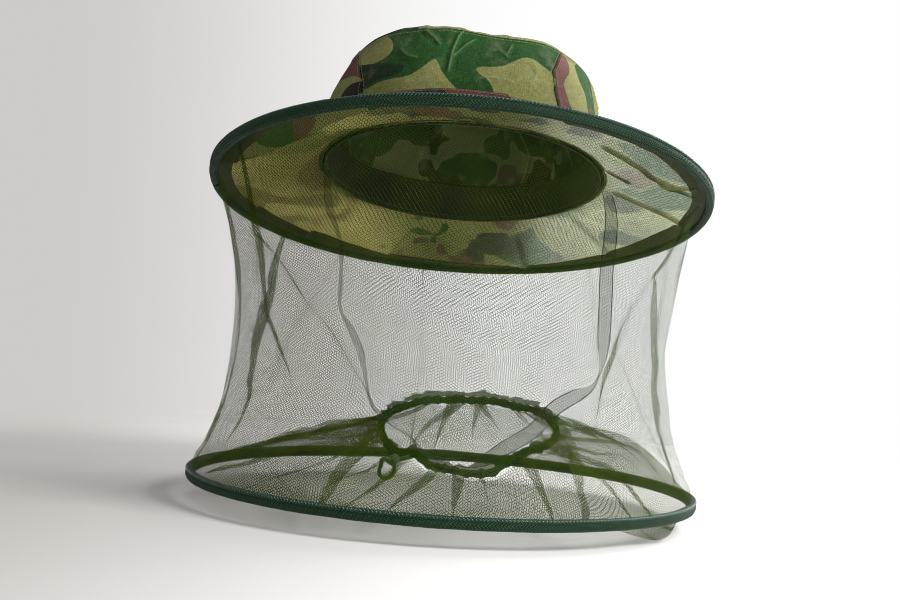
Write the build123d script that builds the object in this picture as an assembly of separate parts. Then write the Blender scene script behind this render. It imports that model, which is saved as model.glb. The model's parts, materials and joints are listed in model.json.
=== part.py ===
from build123d import *
import math
import os

# Beekeeping veil: soft hat, wired brim, net cylinder, lower wire hoop and gathered net collar.
# Millimetres and degrees. Origin: centre of the head opening, at the foot of the crown.
# +Z is up, -Y is the wearer's front, +X is the wearer's left. The lower hoop hangs level,
# and the hat sits tipped back on the head, its front edge high.

# ---- hat
HAT_TILT = 16.0            # hat axis leans back by this much
CLOTH_T = 1.2              # hemmed cloth
HEAD_R = 98.0              # inside of the sweatband
SWEATBAND_T = 1.4
SWEATBAND_H = 28.0
SWEATBAND_OUT_R = HEAD_R + SWEATBAND_T
CROWN_R = 103.0            # crown foot, outside
CROWN_H = 78.0             # crown foot to the top of the side wall
CROWN_TOP_INSET = 18.2     # how far the wall leans in by its top
WALL_EXTRA_T = 0.25        # extra wall thickness gained point by point towards the top
TOP_PANEL_GAP = 0.1        # between the wall and the top panel
HAT_BAND_H = 22.0          # cloth strip round the crown foot
BRIM_T = 1.0
BRIM_DROP = 17.0           # crown foot plane to the brim hoop plane
BRIM_FOOT_MARGIN = 0.2     # flat part of the brim beyond the hat band

# ---- wired edges
HOOP_R = 176.0             # centreline of both wire hoops
BINDING_R = 4.0            # outside radius of the bound edge
CORE_R = 2.2               # room for the wire inside the binding
WIRE_R = 1.25
WIRE_GAP = 0.4             # degrees between the wire's ends
FERRULE_R = 2.0
FERRULE_L = 24.0
HOOP_DROP = 204.0          # brim hoop centre to lower hoop centre, straight down
HOOP_FORWARD = 13.5        # lower hoop centre in front of the brim hoop's

# ---- net and collar
NET_T = 0.8                # net, as a solid skin
NET_GAP = 0.02             # net end to binding
COLLAR_FOOT_INSET = 2.0    # collar foot inside the hoop radius
COLLAR_MID_R = 122.0
COLLAR_MID_AT = 0.52       # fraction of the way from hoop centre to neck centre
COLLAR_MID_LIFT = 3.0
COLLAR_MID_TILT = 0.45     # fraction of the neck tilt
COLLAR_TOP_OVERLAP = 0.4   # collar top inside the casing's outer radius

# ---- neck
NECK_R = 60.0              # inside of the neck casing
CASING_T = 4.4
CASING_H = 9.0
CASING_OUT_R = NECK_R + CASING_T
NECK_RISE = 34.0           # neck casing centre above the lower hoop
NECK_SIDE = 17.0           # neck casing centre towards +X
NECK_BACK = 6.0            # neck casing centre behind the lower hoop's
NECK_TILT = 16.0           # the casing's back edge is high
TUNNEL_IN = 1.3            # elastic tunnel, from the casing's inside radius
TUNNEL_OUT = 3.1
TUNNEL_HALF_H = 2.9
ELASTIC_GAP = 0.2          # elastic to tunnel wall, all round

# ---- knot in the elastic: offsets run down the collar slope and lift off it
KNOT_ANGLE = 209.0         # round the neck, at the front right
KNOT_START_GAP = 0.1       # casing to the point the offsets start from
KNOT_CUT_GAP = 0.05        # casing to the cut face of the knot
KNOT_LOOP_R = 6.6
KNOT_CORD_R = 1.7
LOOP_NEAR_DOWN = 5.4       # start point to the near side of the loop's centreline
LOOP_LIFT = 7.0
BEAD_R = 3.1
BEAD_DOWN = 3.6
BEAD_LIFT = 5.6

# ---- chin ribbon
RIBBON_W = 10.0
RIBBON_T = 0.6
RIBBON_SIDE_X = SWEATBAND_OUT_R + 0.5
RIBBON_STEPS = 3           # points per span of the ribbon path

# Crown wall, outside: (inset from CROWN_R, height)
CROWN_WALL = [
    (0.0, 0.0), (0.0, 26.0), (1.2, 36.0), (3.6, 47.0),
    (7.4, 58.0), (12.2, 68.0), (16.4, CROWN_H - 3.0), (CROWN_TOP_INSET, CROWN_H),
]

# Crown top, upper face inside its rim: (radius, rise above CROWN_H)
CROWN_TOP = [(0.0, 1.6), (30.0, 1.4), (60.0, 0.6)]

# Net, bottom to top: (fraction of the height, net radius over hoop radius)
NET_WAIST = [(0.0, 1.0), (0.17, 0.925), (0.38, 0.872), (0.60, 0.866), (0.81, 0.905), (1.0, 1.0)]

# Ribbon centreline from the right side to the left, in the hat's frame: (x, z)
RIBBON_PATH = [
    (-RIBBON_SIDE_X, -0.2), (-RIBBON_SIDE_X, -40), (-RIBBON_SIDE_X + 0.4, -84),
    (-RIBBON_SIDE_X + 1.2, -126), (-84, -152), (-52, -172), (-18, -183), (17, -186),
    (50, -178), (80, -158), (RIBBON_SIDE_X - 1.6, -130), (RIBBON_SIDE_X - 0.4, -84),
    (RIBBON_SIDE_X, -40), (RIBBON_SIDE_X, -0.2),
]


# ---- frames
def tilted_axis(degrees):
    """Z axis leaning towards +Y."""
    angle = math.radians(degrees)
    return Vector(0, math.sin(angle), math.cos(angle))


def frame(origin, axis):
    return Plane(origin=origin, x_dir=(1, 0, 0), z_dir=axis)


HAT_AXIS = tilted_axis(HAT_TILT)
BRIM_CENTRE = HAT_AXIS * (-BRIM_DROP)
LOWER_CENTRE = BRIM_CENTRE + Vector(0, -HOOP_FORWARD, -HOOP_DROP)
NECK_CENTRE = LOWER_CENTRE + Vector(NECK_SIDE, NECK_BACK, NECK_RISE)
HAT = frame((0, 0, 0), HAT_AXIS).location
BRIM_RING = HAT * Pos(0, 0, -BRIM_DROP)
LOWER_RING = frame(LOWER_CENTRE, (0, 0, 1)).location
NECK_PLANE = frame(NECK_CENTRE, tilted_axis(-NECK_TILT))
NECK = NECK_PLANE.location


# ---- helpers
def turned(points, arc=360.0, start=0.0):
    """Solid of revolution about Z from (radius, z) points."""
    face = make_face(Polyline(*[(r, 0, z) for r, z in points], close=True))
    return Rot(0, 0, start) * revolve(face, axis=Axis.Z, revolution_arc=arc)


def ring_arc(radius, start, arc, inner=0.0):
    """Round bar bent on the hoop radius, hollow if inner is given."""
    section = Plane.XZ * Pos(HOOP_R, 0) * Circle(radius)
    if inner:
        section = section - Plane.XZ * Pos(HOOP_R, 0) * Circle(inner)
    return Rot(0, 0, start) * revolve(section, axis=Axis.Z, revolution_arc=arc)


def largest(shape):
    return max(shape.solids(), key=lambda solid: solid.volume)


def catmull_rom(points, steps):
    """Points along a Catmull-Rom curve through 2-D points, its ends doubled."""
    padded = [points[0], *points, points[-1]]
    eased = []
    for before, start, end, after in zip(padded, padded[1:], padded[2:], padded[3:]):
        for step in range(steps):
            u = step / steps
            eased.append(tuple(
                0.5 * (2 * b + (c - a) * u
                       + (2 * a - 5 * b + 4 * c - d) * u * u
                       + (3 * b - a - 3 * c + d) * u ** 3)
                for a, b, c, d in zip(before, start, end, after)))
    eased.append(points[-1])
    return eased


# ---- hat
def crown_panel(start):
    """Quarter of the crown side wall."""
    outside = [(CROWN_R - inset, z) for inset, z in CROWN_WALL]
    last = len(outside) - 1
    inside = [(r - CLOTH_T - WALL_EXTRA_T * i / last, z) for i, (r, z) in enumerate(outside)]
    return HAT * turned(outside + inside[::-1], 90.0, start)


def crown_top():
    rim_r = CROWN_R - CROWN_TOP_INSET - CLOTH_T - WALL_EXTRA_T - TOP_PANEL_GAP
    upper = [(r, CROWN_H + rise) for r, rise in CROWN_TOP] + [(rim_r, CROWN_H)]
    lower = [(r, z - CLOTH_T) for r, z in upper]
    return HAT * turned(upper + lower[::-1])


def cloth_band(inner_r, thickness, foot_z, height):
    """Upright band round the hat axis."""
    outer_r, top_z = inner_r + thickness, foot_z + height
    return HAT * turned([(inner_r, foot_z), (outer_r, foot_z), (outer_r, top_z), (inner_r, top_z)])


def brim_in_hat_frame():
    """Flat foot under the crown wall, then a cone down to the bound edge."""
    foot_r = CROWN_R + CLOTH_T + BRIM_FOOT_MARGIN
    brim = turned([
        (SWEATBAND_OUT_R, 0), (foot_r, 0), (HOOP_R, -BRIM_DROP + BRIM_T / 2),
        (HOOP_R, -BRIM_DROP - BRIM_T / 2), (foot_r, -BRIM_T), (SWEATBAND_OUT_R, -BRIM_T),
    ])
    return brim - Pos(0, 0, -BRIM_DROP) * Torus(HOOP_R, BINDING_R)


def chin_ribbon(brim):
    """One strip hanging from both sides of the head opening, trimmed by the brim."""
    middle = catmull_rom(RIBBON_PATH, RIBBON_STEPS)
    last = len(middle) - 1
    upper, lower = [], []
    for i, (x, z) in enumerate(middle):
        before, after = middle[max(i - 1, 0)], middle[min(i + 1, last)]
        dx, dz = after[0] - before[0], after[1] - before[1]
        scale = RIBBON_T / 2 / math.hypot(dx, dz)
        upper.append((x - dz * scale, 0, z + dx * scale))
        lower.append((x + dz * scale, 0, z - dx * scale))
    outline = [Spline(*upper), Line(upper[-1], lower[-1]),
               Spline(*lower[::-1]), Line(lower[0], upper[0])]
    strip = extrude(make_face(outline), amount=RIBBON_W / 2, dir=(0, 1, 0), both=True)
    return HAT * largest(strip - brim)


# ---- wired edges
def wired_edge(ring, joint_angle):
    """Wire, the ferrule over its joint, and the hollow binding round them."""
    ferrule_arc = math.degrees(FERRULE_L / HOOP_R)
    wire = ring_arc(WIRE_R, joint_angle + WIRE_GAP / 2, 360.0 - WIRE_GAP)
    ferrule = ring_arc(FERRULE_R, joint_angle - ferrule_arc / 2, ferrule_arc, inner=WIRE_R)
    binding = Torus(HOOP_R, BINDING_R) - Torus(HOOP_R, CORE_R)
    return ring * wire, ring * ferrule, ring * binding


# ---- net and collar
def net_body(inset):
    """Waisted solid between the bindings, its sections tilting from level to the hat's."""
    low = LOWER_CENTRE + Vector(0, 0, BINDING_R + NET_GAP)
    high = BRIM_CENTRE - HAT_AXIS * (BINDING_R + NET_GAP)
    return loft([
        frame(low + (high - low) * at, tilted_axis(HAT_TILT * at)) * Circle(HOOP_R * ratio - inset)
        for at, ratio in NET_WAIST
    ])


def collar_body(dz):
    """Solid from the lower hoop in and up to the neck casing, shifted by dz."""
    shift = Vector(0, 0, dz)
    middle = (LOWER_CENTRE + (NECK_CENTRE - LOWER_CENTRE) * COLLAR_MID_AT
              + Vector(0, 0, dz + COLLAR_MID_LIFT))
    return loft([
        Plane(origin=LOWER_CENTRE + shift, z_dir=(0, 0, 1)) * Circle(HOOP_R - COLLAR_FOOT_INSET),
        frame(middle, tilted_axis(-NECK_TILT * COLLAR_MID_TILT)) * Circle(COLLAR_MID_R),
        frame(NECK_CENTRE + shift, tilted_axis(-NECK_TILT))
        * Circle(CASING_OUT_R - COLLAR_TOP_OVERLAP),
    ])


def collar_net():
    """Collar skin, cleared of the casing and the lower binding."""
    collar = collar_body(0.0) - collar_body(-NET_T)
    collar = collar - NECK * Cylinder(CASING_OUT_R, 60.0) - LOWER_RING * Torus(HOOP_R, BINDING_R)
    return largest(collar)


# ---- neck
def neck_band(gap):
    """Flat ring the size of the elastic tunnel, smaller by gap all round."""
    inner_r, outer_r = NECK_R + TUNNEL_IN + gap, NECK_R + TUNNEL_OUT - gap
    half_h = TUNNEL_HALF_H - gap
    return turned([(inner_r, -half_h), (inner_r, half_h), (outer_r, half_h), (outer_r, -half_h)])


def neck_casing():
    """Ring with bevelled edges, hollowed for the elastic."""
    half_h = CASING_H / 2
    upper = [
        (NECK_R, half_h - 0.5), (NECK_R + 0.5, half_h), (CASING_OUT_R - 1.3, half_h),
        (CASING_OUT_R - 0.4, half_h - 0.5), (CASING_OUT_R, half_h - 1.4),
    ]
    lower = [(r, -z) for r, z in upper]
    return NECK * (turned(upper + lower[::-1]) - neck_band(0.0))


def neck_knot():
    """Knotted loop of the elastic, lying on the collar at the front right of the neck."""
    angle = math.radians(KNOT_ANGLE)
    radial = Vector(math.cos(angle), math.sin(angle), 0)
    start = NECK_PLANE.from_local_coords(radial * (CASING_OUT_R + KNOT_START_GAP))
    outward = Vector(start.X - LOWER_CENTRE.X, start.Y - LOWER_CENTRE.Y, 0).normalized()
    down = (LOWER_CENTRE + outward * HOOP_R - start).normalized()
    side = down.cross(Vector(0, 0, 1)).normalized()
    lift = side.cross(down).normalized()
    loop_centre = start + down * (KNOT_LOOP_R + LOOP_NEAR_DOWN) + lift * LOOP_LIFT
    loop_plane = Plane(origin=loop_centre, x_dir=down, z_dir=lift)
    loop = loop_plane.location * Torus(KNOT_LOOP_R, KNOT_CORD_R)
    bead = Pos(*(start + down * BEAD_DOWN + lift * BEAD_LIFT)) * Sphere(BEAD_R)
    return largest(loop + bead - NECK * Cylinder(CASING_OUT_R + KNOT_CUT_GAP, 40.0))


# ---- assembly
brim = brim_in_hat_frame()
brim_hoop, brim_ferrule, brim_binding = wired_edge(BRIM_RING, joint_angle=180.0)
veil_hoop, veil_ferrule, veil_binding = wired_edge(LOWER_RING, joint_angle=90.0)

parts = {
    "crown_left_panel": crown_panel(-45.0),
    "crown_back_panel": crown_panel(45.0),
    "crown_right_panel": crown_panel(135.0),
    "crown_front_panel": crown_panel(225.0),
    "crown_top": crown_top(),
    "hat_band": cloth_band(CROWN_R, CLOTH_T, 0, HAT_BAND_H),
    "sweatband": cloth_band(HEAD_R, SWEATBAND_T, -BRIM_T, SWEATBAND_H),
    "brim_panel": HAT * brim,
    "brim_hoop": brim_hoop,
    "brim_hoop_ferrule": brim_ferrule,
    "brim_binding": brim_binding,
    "veil_hoop": veil_hoop,
    "veil_hoop_ferrule": veil_ferrule,
    "veil_hoop_binding": veil_binding,
    "veil_net": largest(net_body(0.0) - net_body(NET_T)),
    "collar_net": collar_net(),
    "neck_casing": neck_casing(),
    "neck_elastic": NECK * neck_band(ELASTIC_GAP),
    "neck_knot": neck_knot(),
    "chin_ribbon": chin_ribbon(brim),
}

os.makedirs("parts", exist_ok=True)
for name, shape in parts.items():
    solids = shape.solids()
    piece = solids[0] if len(solids) == 1 else Compound(children=list(solids))
    piece.label = name
    export_step(piece, f"parts/{name}.step")
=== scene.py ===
"""Camouflage hat with a hooped net veil, a gathered net collar and a chin ribbon.

The frame is in metres with +Z up and the front towards -Y; lengths here are in mm until a mesh
is made. Hat-local places use x, y (backwards) and z along the tilted hat axis, from the head
opening. Left and right are as seen from the front (left is -X), except in the names of the
crown panels, which go by the wearer.
"""
import json
import math
import bpy
import numpy as np
from mathutils import Matrix, Vector


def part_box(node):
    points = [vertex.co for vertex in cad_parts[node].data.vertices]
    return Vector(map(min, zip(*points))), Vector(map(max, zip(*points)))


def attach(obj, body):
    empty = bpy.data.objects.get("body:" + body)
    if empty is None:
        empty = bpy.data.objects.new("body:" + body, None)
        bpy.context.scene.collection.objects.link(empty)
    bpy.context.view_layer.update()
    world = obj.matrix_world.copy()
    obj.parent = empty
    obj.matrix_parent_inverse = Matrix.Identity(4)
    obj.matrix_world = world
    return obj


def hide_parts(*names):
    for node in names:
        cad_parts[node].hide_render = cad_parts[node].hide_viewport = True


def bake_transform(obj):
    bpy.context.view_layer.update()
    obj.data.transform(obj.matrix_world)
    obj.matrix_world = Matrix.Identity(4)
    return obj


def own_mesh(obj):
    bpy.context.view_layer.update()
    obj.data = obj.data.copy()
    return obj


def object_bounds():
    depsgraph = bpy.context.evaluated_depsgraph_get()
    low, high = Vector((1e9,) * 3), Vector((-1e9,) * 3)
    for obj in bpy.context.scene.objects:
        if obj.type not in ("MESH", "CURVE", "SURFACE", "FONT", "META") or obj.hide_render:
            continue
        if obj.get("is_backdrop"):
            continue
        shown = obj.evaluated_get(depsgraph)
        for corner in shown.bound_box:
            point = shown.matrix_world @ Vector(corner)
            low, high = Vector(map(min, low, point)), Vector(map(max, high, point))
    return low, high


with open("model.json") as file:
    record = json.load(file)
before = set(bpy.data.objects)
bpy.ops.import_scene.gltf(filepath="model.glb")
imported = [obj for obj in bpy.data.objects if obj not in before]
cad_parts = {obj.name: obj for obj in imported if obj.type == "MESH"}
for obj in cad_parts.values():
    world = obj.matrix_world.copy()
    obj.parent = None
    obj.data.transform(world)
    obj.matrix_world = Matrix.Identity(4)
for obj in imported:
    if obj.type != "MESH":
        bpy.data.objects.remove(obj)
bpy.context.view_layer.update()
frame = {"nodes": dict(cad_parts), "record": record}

rng = np.random.RandomState(7)
MOUNTS = {m["name"]: m for m in frame["record"]["mounts"]}
FULL_TURN = 2 * math.pi


# ------------------------------------------------------------------ anchors from the frame
def unit(vectors):
    return vectors / np.linalg.norm(vectors, axis=-1, keepdims=True)


def round_mount(name):
    """(place, upward axis, radius) of a round mount."""
    mount = MOUNTS[name]
    axis = unit(-np.array(mount["axis"], float))
    return np.array(mount["pos_m"], float) * 1000, axis, float(mount["dims"]["r_mm"])


def box_mm(name):
    return [np.array(corner) * 1000 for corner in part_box(name)]


X_DIR, Y_DIR, Z_DIR = np.eye(3)
ORIGIN, UP, HEAD_R = round_mount("head_band")
BACK = np.cross(UP, X_DIR)
NECK_CENTRE, NECK_UP, NECK_R = round_mount("neck_opening")
NECK_BACK = np.cross(NECK_UP, X_DIR)

low, high = box_mm("veil_hoop_binding")
BINDING_R = (high[2] - low[2]) / 2
HOOP_R = (high[0] - low[0]) / 2 - BINDING_R
LOWER_CENTRE = (low + high) / 2
BRIM_CENTRE = sum(box_mm("brim_binding")) / 2
BRIM_DROP = float(np.dot(ORIGIN - BRIM_CENTRE, UP))
TILT = math.acos(UP[2])
CLOTH_LENGTH = FULL_TURN * HOOP_R     # flat length of the net, the same as the hoops

# rings the pieces are built round: centre, axis, backward direction
BRIM_RING = (BRIM_CENTRE, UP, BACK)
LOWER_RING = (LOWER_CENTRE, Z_DIR, Y_DIR)
NECK_RING = (NECK_CENTRE, NECK_UP, NECK_BACK)
VIEW_POINT = np.array([-2.73, -1100.0, -78.75])     # where the camera stands


def hat_dir(x, y, z):
    """Hat-local direction as a frame direction."""
    x, y, z = np.broadcast_arrays(x, y, z)
    return x[..., None] * X_DIR + y[..., None] * BACK + z[..., None] * UP


def hat(x, y, z):
    """Hat-local place as a frame place."""
    return ORIGIN + hat_dir(x, y, z)


def spoke(angle, back):
    """Outward direction at an angle from +X towards back."""
    return np.cos(angle)[..., None] * X_DIR + np.sin(angle)[..., None] * back


def ring_frame(ring, angle):
    """(centre, outward directions, axis directions) round a ring."""
    centre, axis, back = ring
    out = spoke(angle, back)
    return centre, out, np.broadcast_to(axis, out.shape)


# ------------------------------------------------------------------ numeric helpers
def ease(share):
    share = np.clip(share, 0, 1)
    return share * share * (3 - 2 * share)


def bump(distance, width):
    return np.exp(-(distance / width) ** 2)


def ridged(phase):
    return 1 - 2 * np.abs(np.sin(phase / 2)) ** 0.75


def ramp(offset, softness=0.10):
    """Soft step from 0 to 1 over offsets -0.5 to 0.5."""
    rise = np.sqrt((offset + 0.5) ** 2 + softness ** 2)
    return 0.5 * (1 + rise - np.sqrt((offset - 0.5) ** 2 + softness ** 2))


def turn(count):
    """Evenly spaced angles round a full turn."""
    return np.arange(count) / count * FULL_TURN


def wrap_angle(angle):
    return (angle + math.pi) % FULL_TURN - math.pi


def lattice(i, j, k, seed):
    """Pseudo-random value, -1 to 1, at a whole-number lattice point."""
    n = (i * 374761393 + j * 668265263 + k * 1442695041 + seed * 1274126177) & 0xFFFFFFFF
    n = ((n ^ (n >> 13)) * 1274126177) & 0xFFFFFFFF
    n = ((n ^ (n >> 15)) * 2246822519) & 0xFFFFFFFF
    return ((n ^ (n >> 16)) & 0xFFFFFF) / 0x7FFFFF - 1.0


def vnoise(x, y, z=0.0, seed=0):
    """Smooth value noise, about -1 to 1."""
    places = np.broadcast_arrays(*(np.asarray(v, float) for v in (x, y, z)))
    cell = [np.floor(v).astype(np.int64) for v in places]
    part = [ease(v - c) for v, c in zip(places, cell)]
    total = 0
    for step in np.ndindex(2, 2, 2):
        weight = 1
        for share, high_side in zip(part, step):
            weight = weight * (share if high_side else 1 - share)
        total = total + weight * lattice(*(c + s for c, s in zip(cell, step)), seed)
    return total


def fbm(x, y, z=0.0, seed=0, octaves=3):
    """Value noise summed over octaves."""
    total, gain, scale = 0, 1.0, 1.0
    for octave in range(octaves):
        total = total + gain * vnoise(x * scale, y * scale, z * scale, seed + 17 * octave)
        gain *= 0.5
        scale *= 2.03
    return total / 1.6


def ring_noise(angle, scale, z=0.0, seed=0):
    """Value noise that closes on itself round a ring."""
    return vnoise(np.cos(angle) * scale, np.sin(angle) * scale, z, seed)


def ring_fbm(angle, scale, z=0.0, seed=0, octaves=3):
    return fbm(np.cos(angle) * scale, np.sin(angle) * scale, z, seed, octaves)


def close_up(points):
    """The points with the first repeated at the end."""
    return np.vstack([points, points[:1]])


def run_length(points):
    """Length travelled at each point of a path."""
    steps = np.linalg.norm(np.diff(points, axis=0), axis=1)
    return np.concatenate([[0], np.cumsum(steps)])


def sample(at, run, rows):
    """Rows interpolated at the given run lengths."""
    return np.stack([np.interp(at, run, column) for column in rows.T], 1)


def curve(points, count, closed=False):
    """Points evenly along a Catmull-Rom curve through points of any dimension."""
    knots = np.array(points, float)
    if closed:
        knots = np.vstack([knots[-1], knots, knots[0], knots[1]])
    else:
        knots = np.vstack([2 * knots[0] - knots[1], knots, 2 * knots[-1] - knots[-2]])
    fine = []
    for i in range(1, len(knots) - 2):
        a, b, c, d = knots[i - 1:i + 3]
        for u in np.linspace(0, 1, 24, endpoint=False):
            fine.append(0.5 * (2 * b + (c - a) * u + (2 * a - 5 * b + 4 * c - d) * u * u
                               + (3 * b - a - 3 * c + d) * u ** 3))
    fine.append(knots[-2])
    fine = np.array(fine)
    run = run_length(fine[:, :3])
    return sample(np.linspace(0, run[-1], count, endpoint=not closed), run, fine)


def to_segment(x, y, start, end):
    """(distance to a segment, share of its length at the nearest point)."""
    edge = end - start
    dot = (x - start[0]) * edge[0] + (y - start[1]) * edge[1]
    share = np.clip(dot / max(edge @ edge, 1e-9), 0, 1)
    return np.hypot(x - start[0] - share * edge[0], y - start[1] - share * edge[1]), share


def inside(x, y, *outlines):
    """Signed distance to the nearest of some smoothed closed outlines, positive inside."""
    fields = []
    for outline in outlines:
        corners = curve(outline, max(24, 5 * len(outline)), closed=True)
        best = np.full(x.shape, 1e9)
        odd = np.zeros(x.shape, bool)
        for start, end in zip(corners, np.roll(corners, -1, axis=0)):
            best = np.minimum(best, to_segment(x, y, start, end)[0])
            slope = (end[0] - start[0]) / (end[1] - start[1] + 1e-12)
            left_of = x < slope * (y - start[1]) + start[0]
            odd ^= ((start[1] > y) != (end[1] > y)) & left_of
        fields.append(np.where(odd, best, -best))
    return np.maximum.reduce(fields)


def near_line(x, y, line):
    """(distance to a polyline, side sign, how far along 0..1)."""
    points = np.array(line, float)
    run = run_length(points)
    best = np.full(x.shape, 1e9)
    side = np.zeros(x.shape)
    along = np.zeros(x.shape)
    for i, (start, end) in enumerate(zip(points[:-1], points[1:])):
        edge = end - start
        distance, share = to_segment(x, y, start, end)
        hit = distance < best
        best = np.where(hit, distance, best)
        side = np.where(hit, np.sign(edge[0] * (y - start[1]) - edge[1] * (x - start[0])), side)
        along = np.where(hit, (run[i] + share * (run[i + 1] - run[i])) / run[-1], along)
    return best, side, along


# ------------------------------------------------------------------ mesh helpers
def add_attributes(mesh, values):
    for key, value in values.items():
        attribute = mesh.attributes.new(key, "FLOAT", "POINT")
        attribute.data.foreach_set("value", np.asarray(value, np.float32).ravel())


def finish_mesh(name, verts, faces, mat, uv=None, attrs=None):
    """An object from vertices in mm and faces as lists of indices."""
    mesh = bpy.data.meshes.new(name)
    verts = np.asarray(verts, np.float32) * 0.001
    mesh.vertices.add(len(verts))
    mesh.vertices.foreach_set("co", verts.ravel())
    sizes = np.array([len(face) for face in faces], np.int32)
    corners = np.array([i for face in faces for i in face], np.int32)
    mesh.loops.add(len(corners))
    mesh.loops.foreach_set("vertex_index", corners)
    mesh.polygons.add(len(sizes))
    starts = np.concatenate([[0], np.cumsum(sizes)[:-1]]).astype(np.int32)
    mesh.polygons.foreach_set("loop_start", starts)
    mesh.update(calc_edges=True)
    mesh.validate()
    mesh.polygons.foreach_set("use_smooth", np.full(len(mesh.polygons), True))
    if uv is not None:
        layer = mesh.uv_layers.new(name="UVMap")
        layer.data.foreach_set("uv", np.asarray(uv, np.float32).ravel())
    add_attributes(mesh, attrs or {})
    ob = bpy.data.objects.new(name, mesh)
    bpy.context.scene.collection.objects.link(ob)
    mesh.materials.append(mat)
    return ob


def wrap_uv(u, v, lap=0.0):
    """UVs in mm for a wrapped sheet: the first row again at the end, lap further on."""
    return np.stack([np.vstack([u, u[:1] + lap]), close_up(v)], -1)


def grid(name, points, mat, uv, wrap=False, attrs=None):
    """A sheet from an (nu, nv, 3) array; uv has one more row if it wraps."""
    nu, nv = points.shape[:2]
    i, j = np.indices((nu if wrap else nu - 1, nv - 1)).reshape(2, -1)
    near, far = i * nv, (i + 1) % nu * nv
    quads = np.stack([near + j, far + j, far + j + 1, near + j + 1], 1)
    uvs = np.stack([uv[i, j], uv[i + 1, j], uv[i + 1, j + 1], uv[i, j + 1]], 1)
    return finish_mesh(name, points.reshape(-1, 3), quads, mat, uvs, attrs)


def tube(name, centres, out, up, section, mat, wrap=True):
    """Sweeps one closed section, or one per station, of (outward, upward) pairs on a path."""
    section = np.array(section, float)
    if section.ndim == 2:
        section = np.broadcast_to(section, (len(centres),) + section.shape)
    points = (centres[:, None] + section[..., 0:1] * out[:, None]
              + section[..., 1:2] * up[:, None])
    nu, nv = points.shape[:2]
    run, around = run_length(close_up(centres)), run_length(close_up(section[0]))
    i, j = np.indices((nu if wrap else nu - 1, nv)).reshape(2, -1)
    near, far, beside = i * nv, (i + 1) % nu * nv, (j + 1) % nv
    faces = np.stack([near + j, near + beside, far + beside, far + j], 1)
    corners = ((i, j), (i, j + 1), (i + 1, j + 1), (i + 1, j))
    uvs = np.stack([np.stack([run[a], around[b]], -1) for a, b in corners], 1)
    if not wrap:
        ends = [list(range(nv))[::-1], [(nu - 1) * nv + k for k in range(nv)]]
        faces = [list(quad) for quad in faces] + ends
        uvs = np.vstack([uvs.reshape(-1, 2), np.zeros((2 * nv, 2))])
    return finish_mesh(name, points.reshape(-1, 3), faces, mat, uvs)


def circle(radius, sides):
    """Closed round section; radius is a number or an array ending in the sides."""
    angle = turn(sides)
    return np.stack([radius * np.cos(angle), radius * np.sin(angle)], -1)


STITCH_STATIONS = np.array([-1.0, -0.72, -0.25, 0.25, 0.72, 1.0])   # shares of half a stitch
STITCH_FATNESS = np.array([0.35, 0.8, 1.0, 1.0, 0.8, 0.35])         # shares of the radius
STITCH_SIDES = 6


def stitches(name, path, normal, mat, pitch, length, radius, lift=0.12, closed=False, skew=0.0):
    """A row of thread stitches lying on a path."""
    if closed:
        path, normal = close_up(path), close_up(normal)
    run = run_length(path)
    count = max(1, int(run[-1] / pitch))
    at = (np.arange(count) + 0.5) * run[-1] / count
    place = sample(at, run, path)
    ahead = sample(np.minimum(at + 0.4, run[-1]), run, path)
    tangent = unit(ahead - sample(np.maximum(at - 0.4, 0), run, path))
    out = sample(at, run, normal)
    out = unit(out - (out * tangent).sum(1)[:, None] * tangent)
    tangent = tangent * math.cos(skew) + np.cross(tangent, out) * math.sin(skew)
    across = np.cross(tangent, out)
    fat = radius * STITCH_FATNESS[:, None]
    turns = turn(STITCH_SIDES)
    jitter = 1 + 0.12 * (rng.rand(count) - 0.5)
    forward = (STITCH_STATIONS * length / 2)[:, None] * jitter[:, None, None]
    rise = (lift * (1 - STITCH_STATIONS ** 2) - 0.05)[:, None] + fat * np.cos(turns)
    verts = place[:, None, None] + forward[..., None] * tangent[:, None, None]
    verts = (verts + rise[..., None] * out[:, None, None]
             + (fat * np.sin(turns))[..., None] * across[:, None, None])
    rings = len(STITCH_STATIONS)
    ring, side = np.indices((rings - 1, STITCH_SIDES)).reshape(2, -1)
    here, beside = ring * STITCH_SIDES, (side + 1) % STITCH_SIDES
    there = here + STITCH_SIDES
    quads = np.stack([here + side, here + beside, there + beside, there + side], 1)
    starts = np.arange(count) * rings * STITCH_SIDES
    faces = (quads[None] + starts[:, None, None]).reshape(-1, 4).tolist()
    last = (rings - 1) * STITCH_SIDES
    for start in starts.tolist():
        faces.append([start + k for k in range(STITCH_SIDES)][::-1])
        faces.append([start + last + k for k in range(STITCH_SIDES)])
    return finish_mesh(name, verts.reshape(-1, 3), faces, mat)


def apply_mods(ob):
    graph = bpy.context.evaluated_depsgraph_get()
    mesh = bpy.data.meshes.new_from_object(ob.evaluated_get(graph), preserve_all_data_layers=True,
                                           depsgraph=graph)
    old = ob.data
    ob.modifiers.clear()
    ob.data = mesh
    mesh.name = old.name
    bpy.data.meshes.remove(old)


def thicken(ob, thickness, offset=-1.0, inner=0):
    """Gives a sheet thickness; inner steps its far side to another material slot."""
    solid = ob.modifiers.new("thick", "SOLIDIFY")
    solid.thickness = thickness * 0.001
    solid.offset = offset
    solid.material_offset = inner
    solid.use_even_offset = False
    apply_mods(ob)


def join(obs, name):
    base = obs[0]
    with bpy.context.temp_override(active_object=base, object=base, selected_objects=obs,
                                   selected_editable_objects=obs):
        bpy.ops.object.join()
    base.name = name
    base.data.name = name
    return base


def coords(ob):
    values = np.empty(len(ob.data.vertices) * 3, np.float32)
    ob.data.vertices.foreach_get("co", values)
    return values.reshape(-1, 3)


def metres(place):
    return tuple(float(v) * 0.001 for v in place)


def piece(ob, body=None, node=None):
    """Hides the CAD node a piece replaces and attaches the piece to the body it rides on."""
    if node:
        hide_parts(node)
    if body:
        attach(ob, body)


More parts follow.
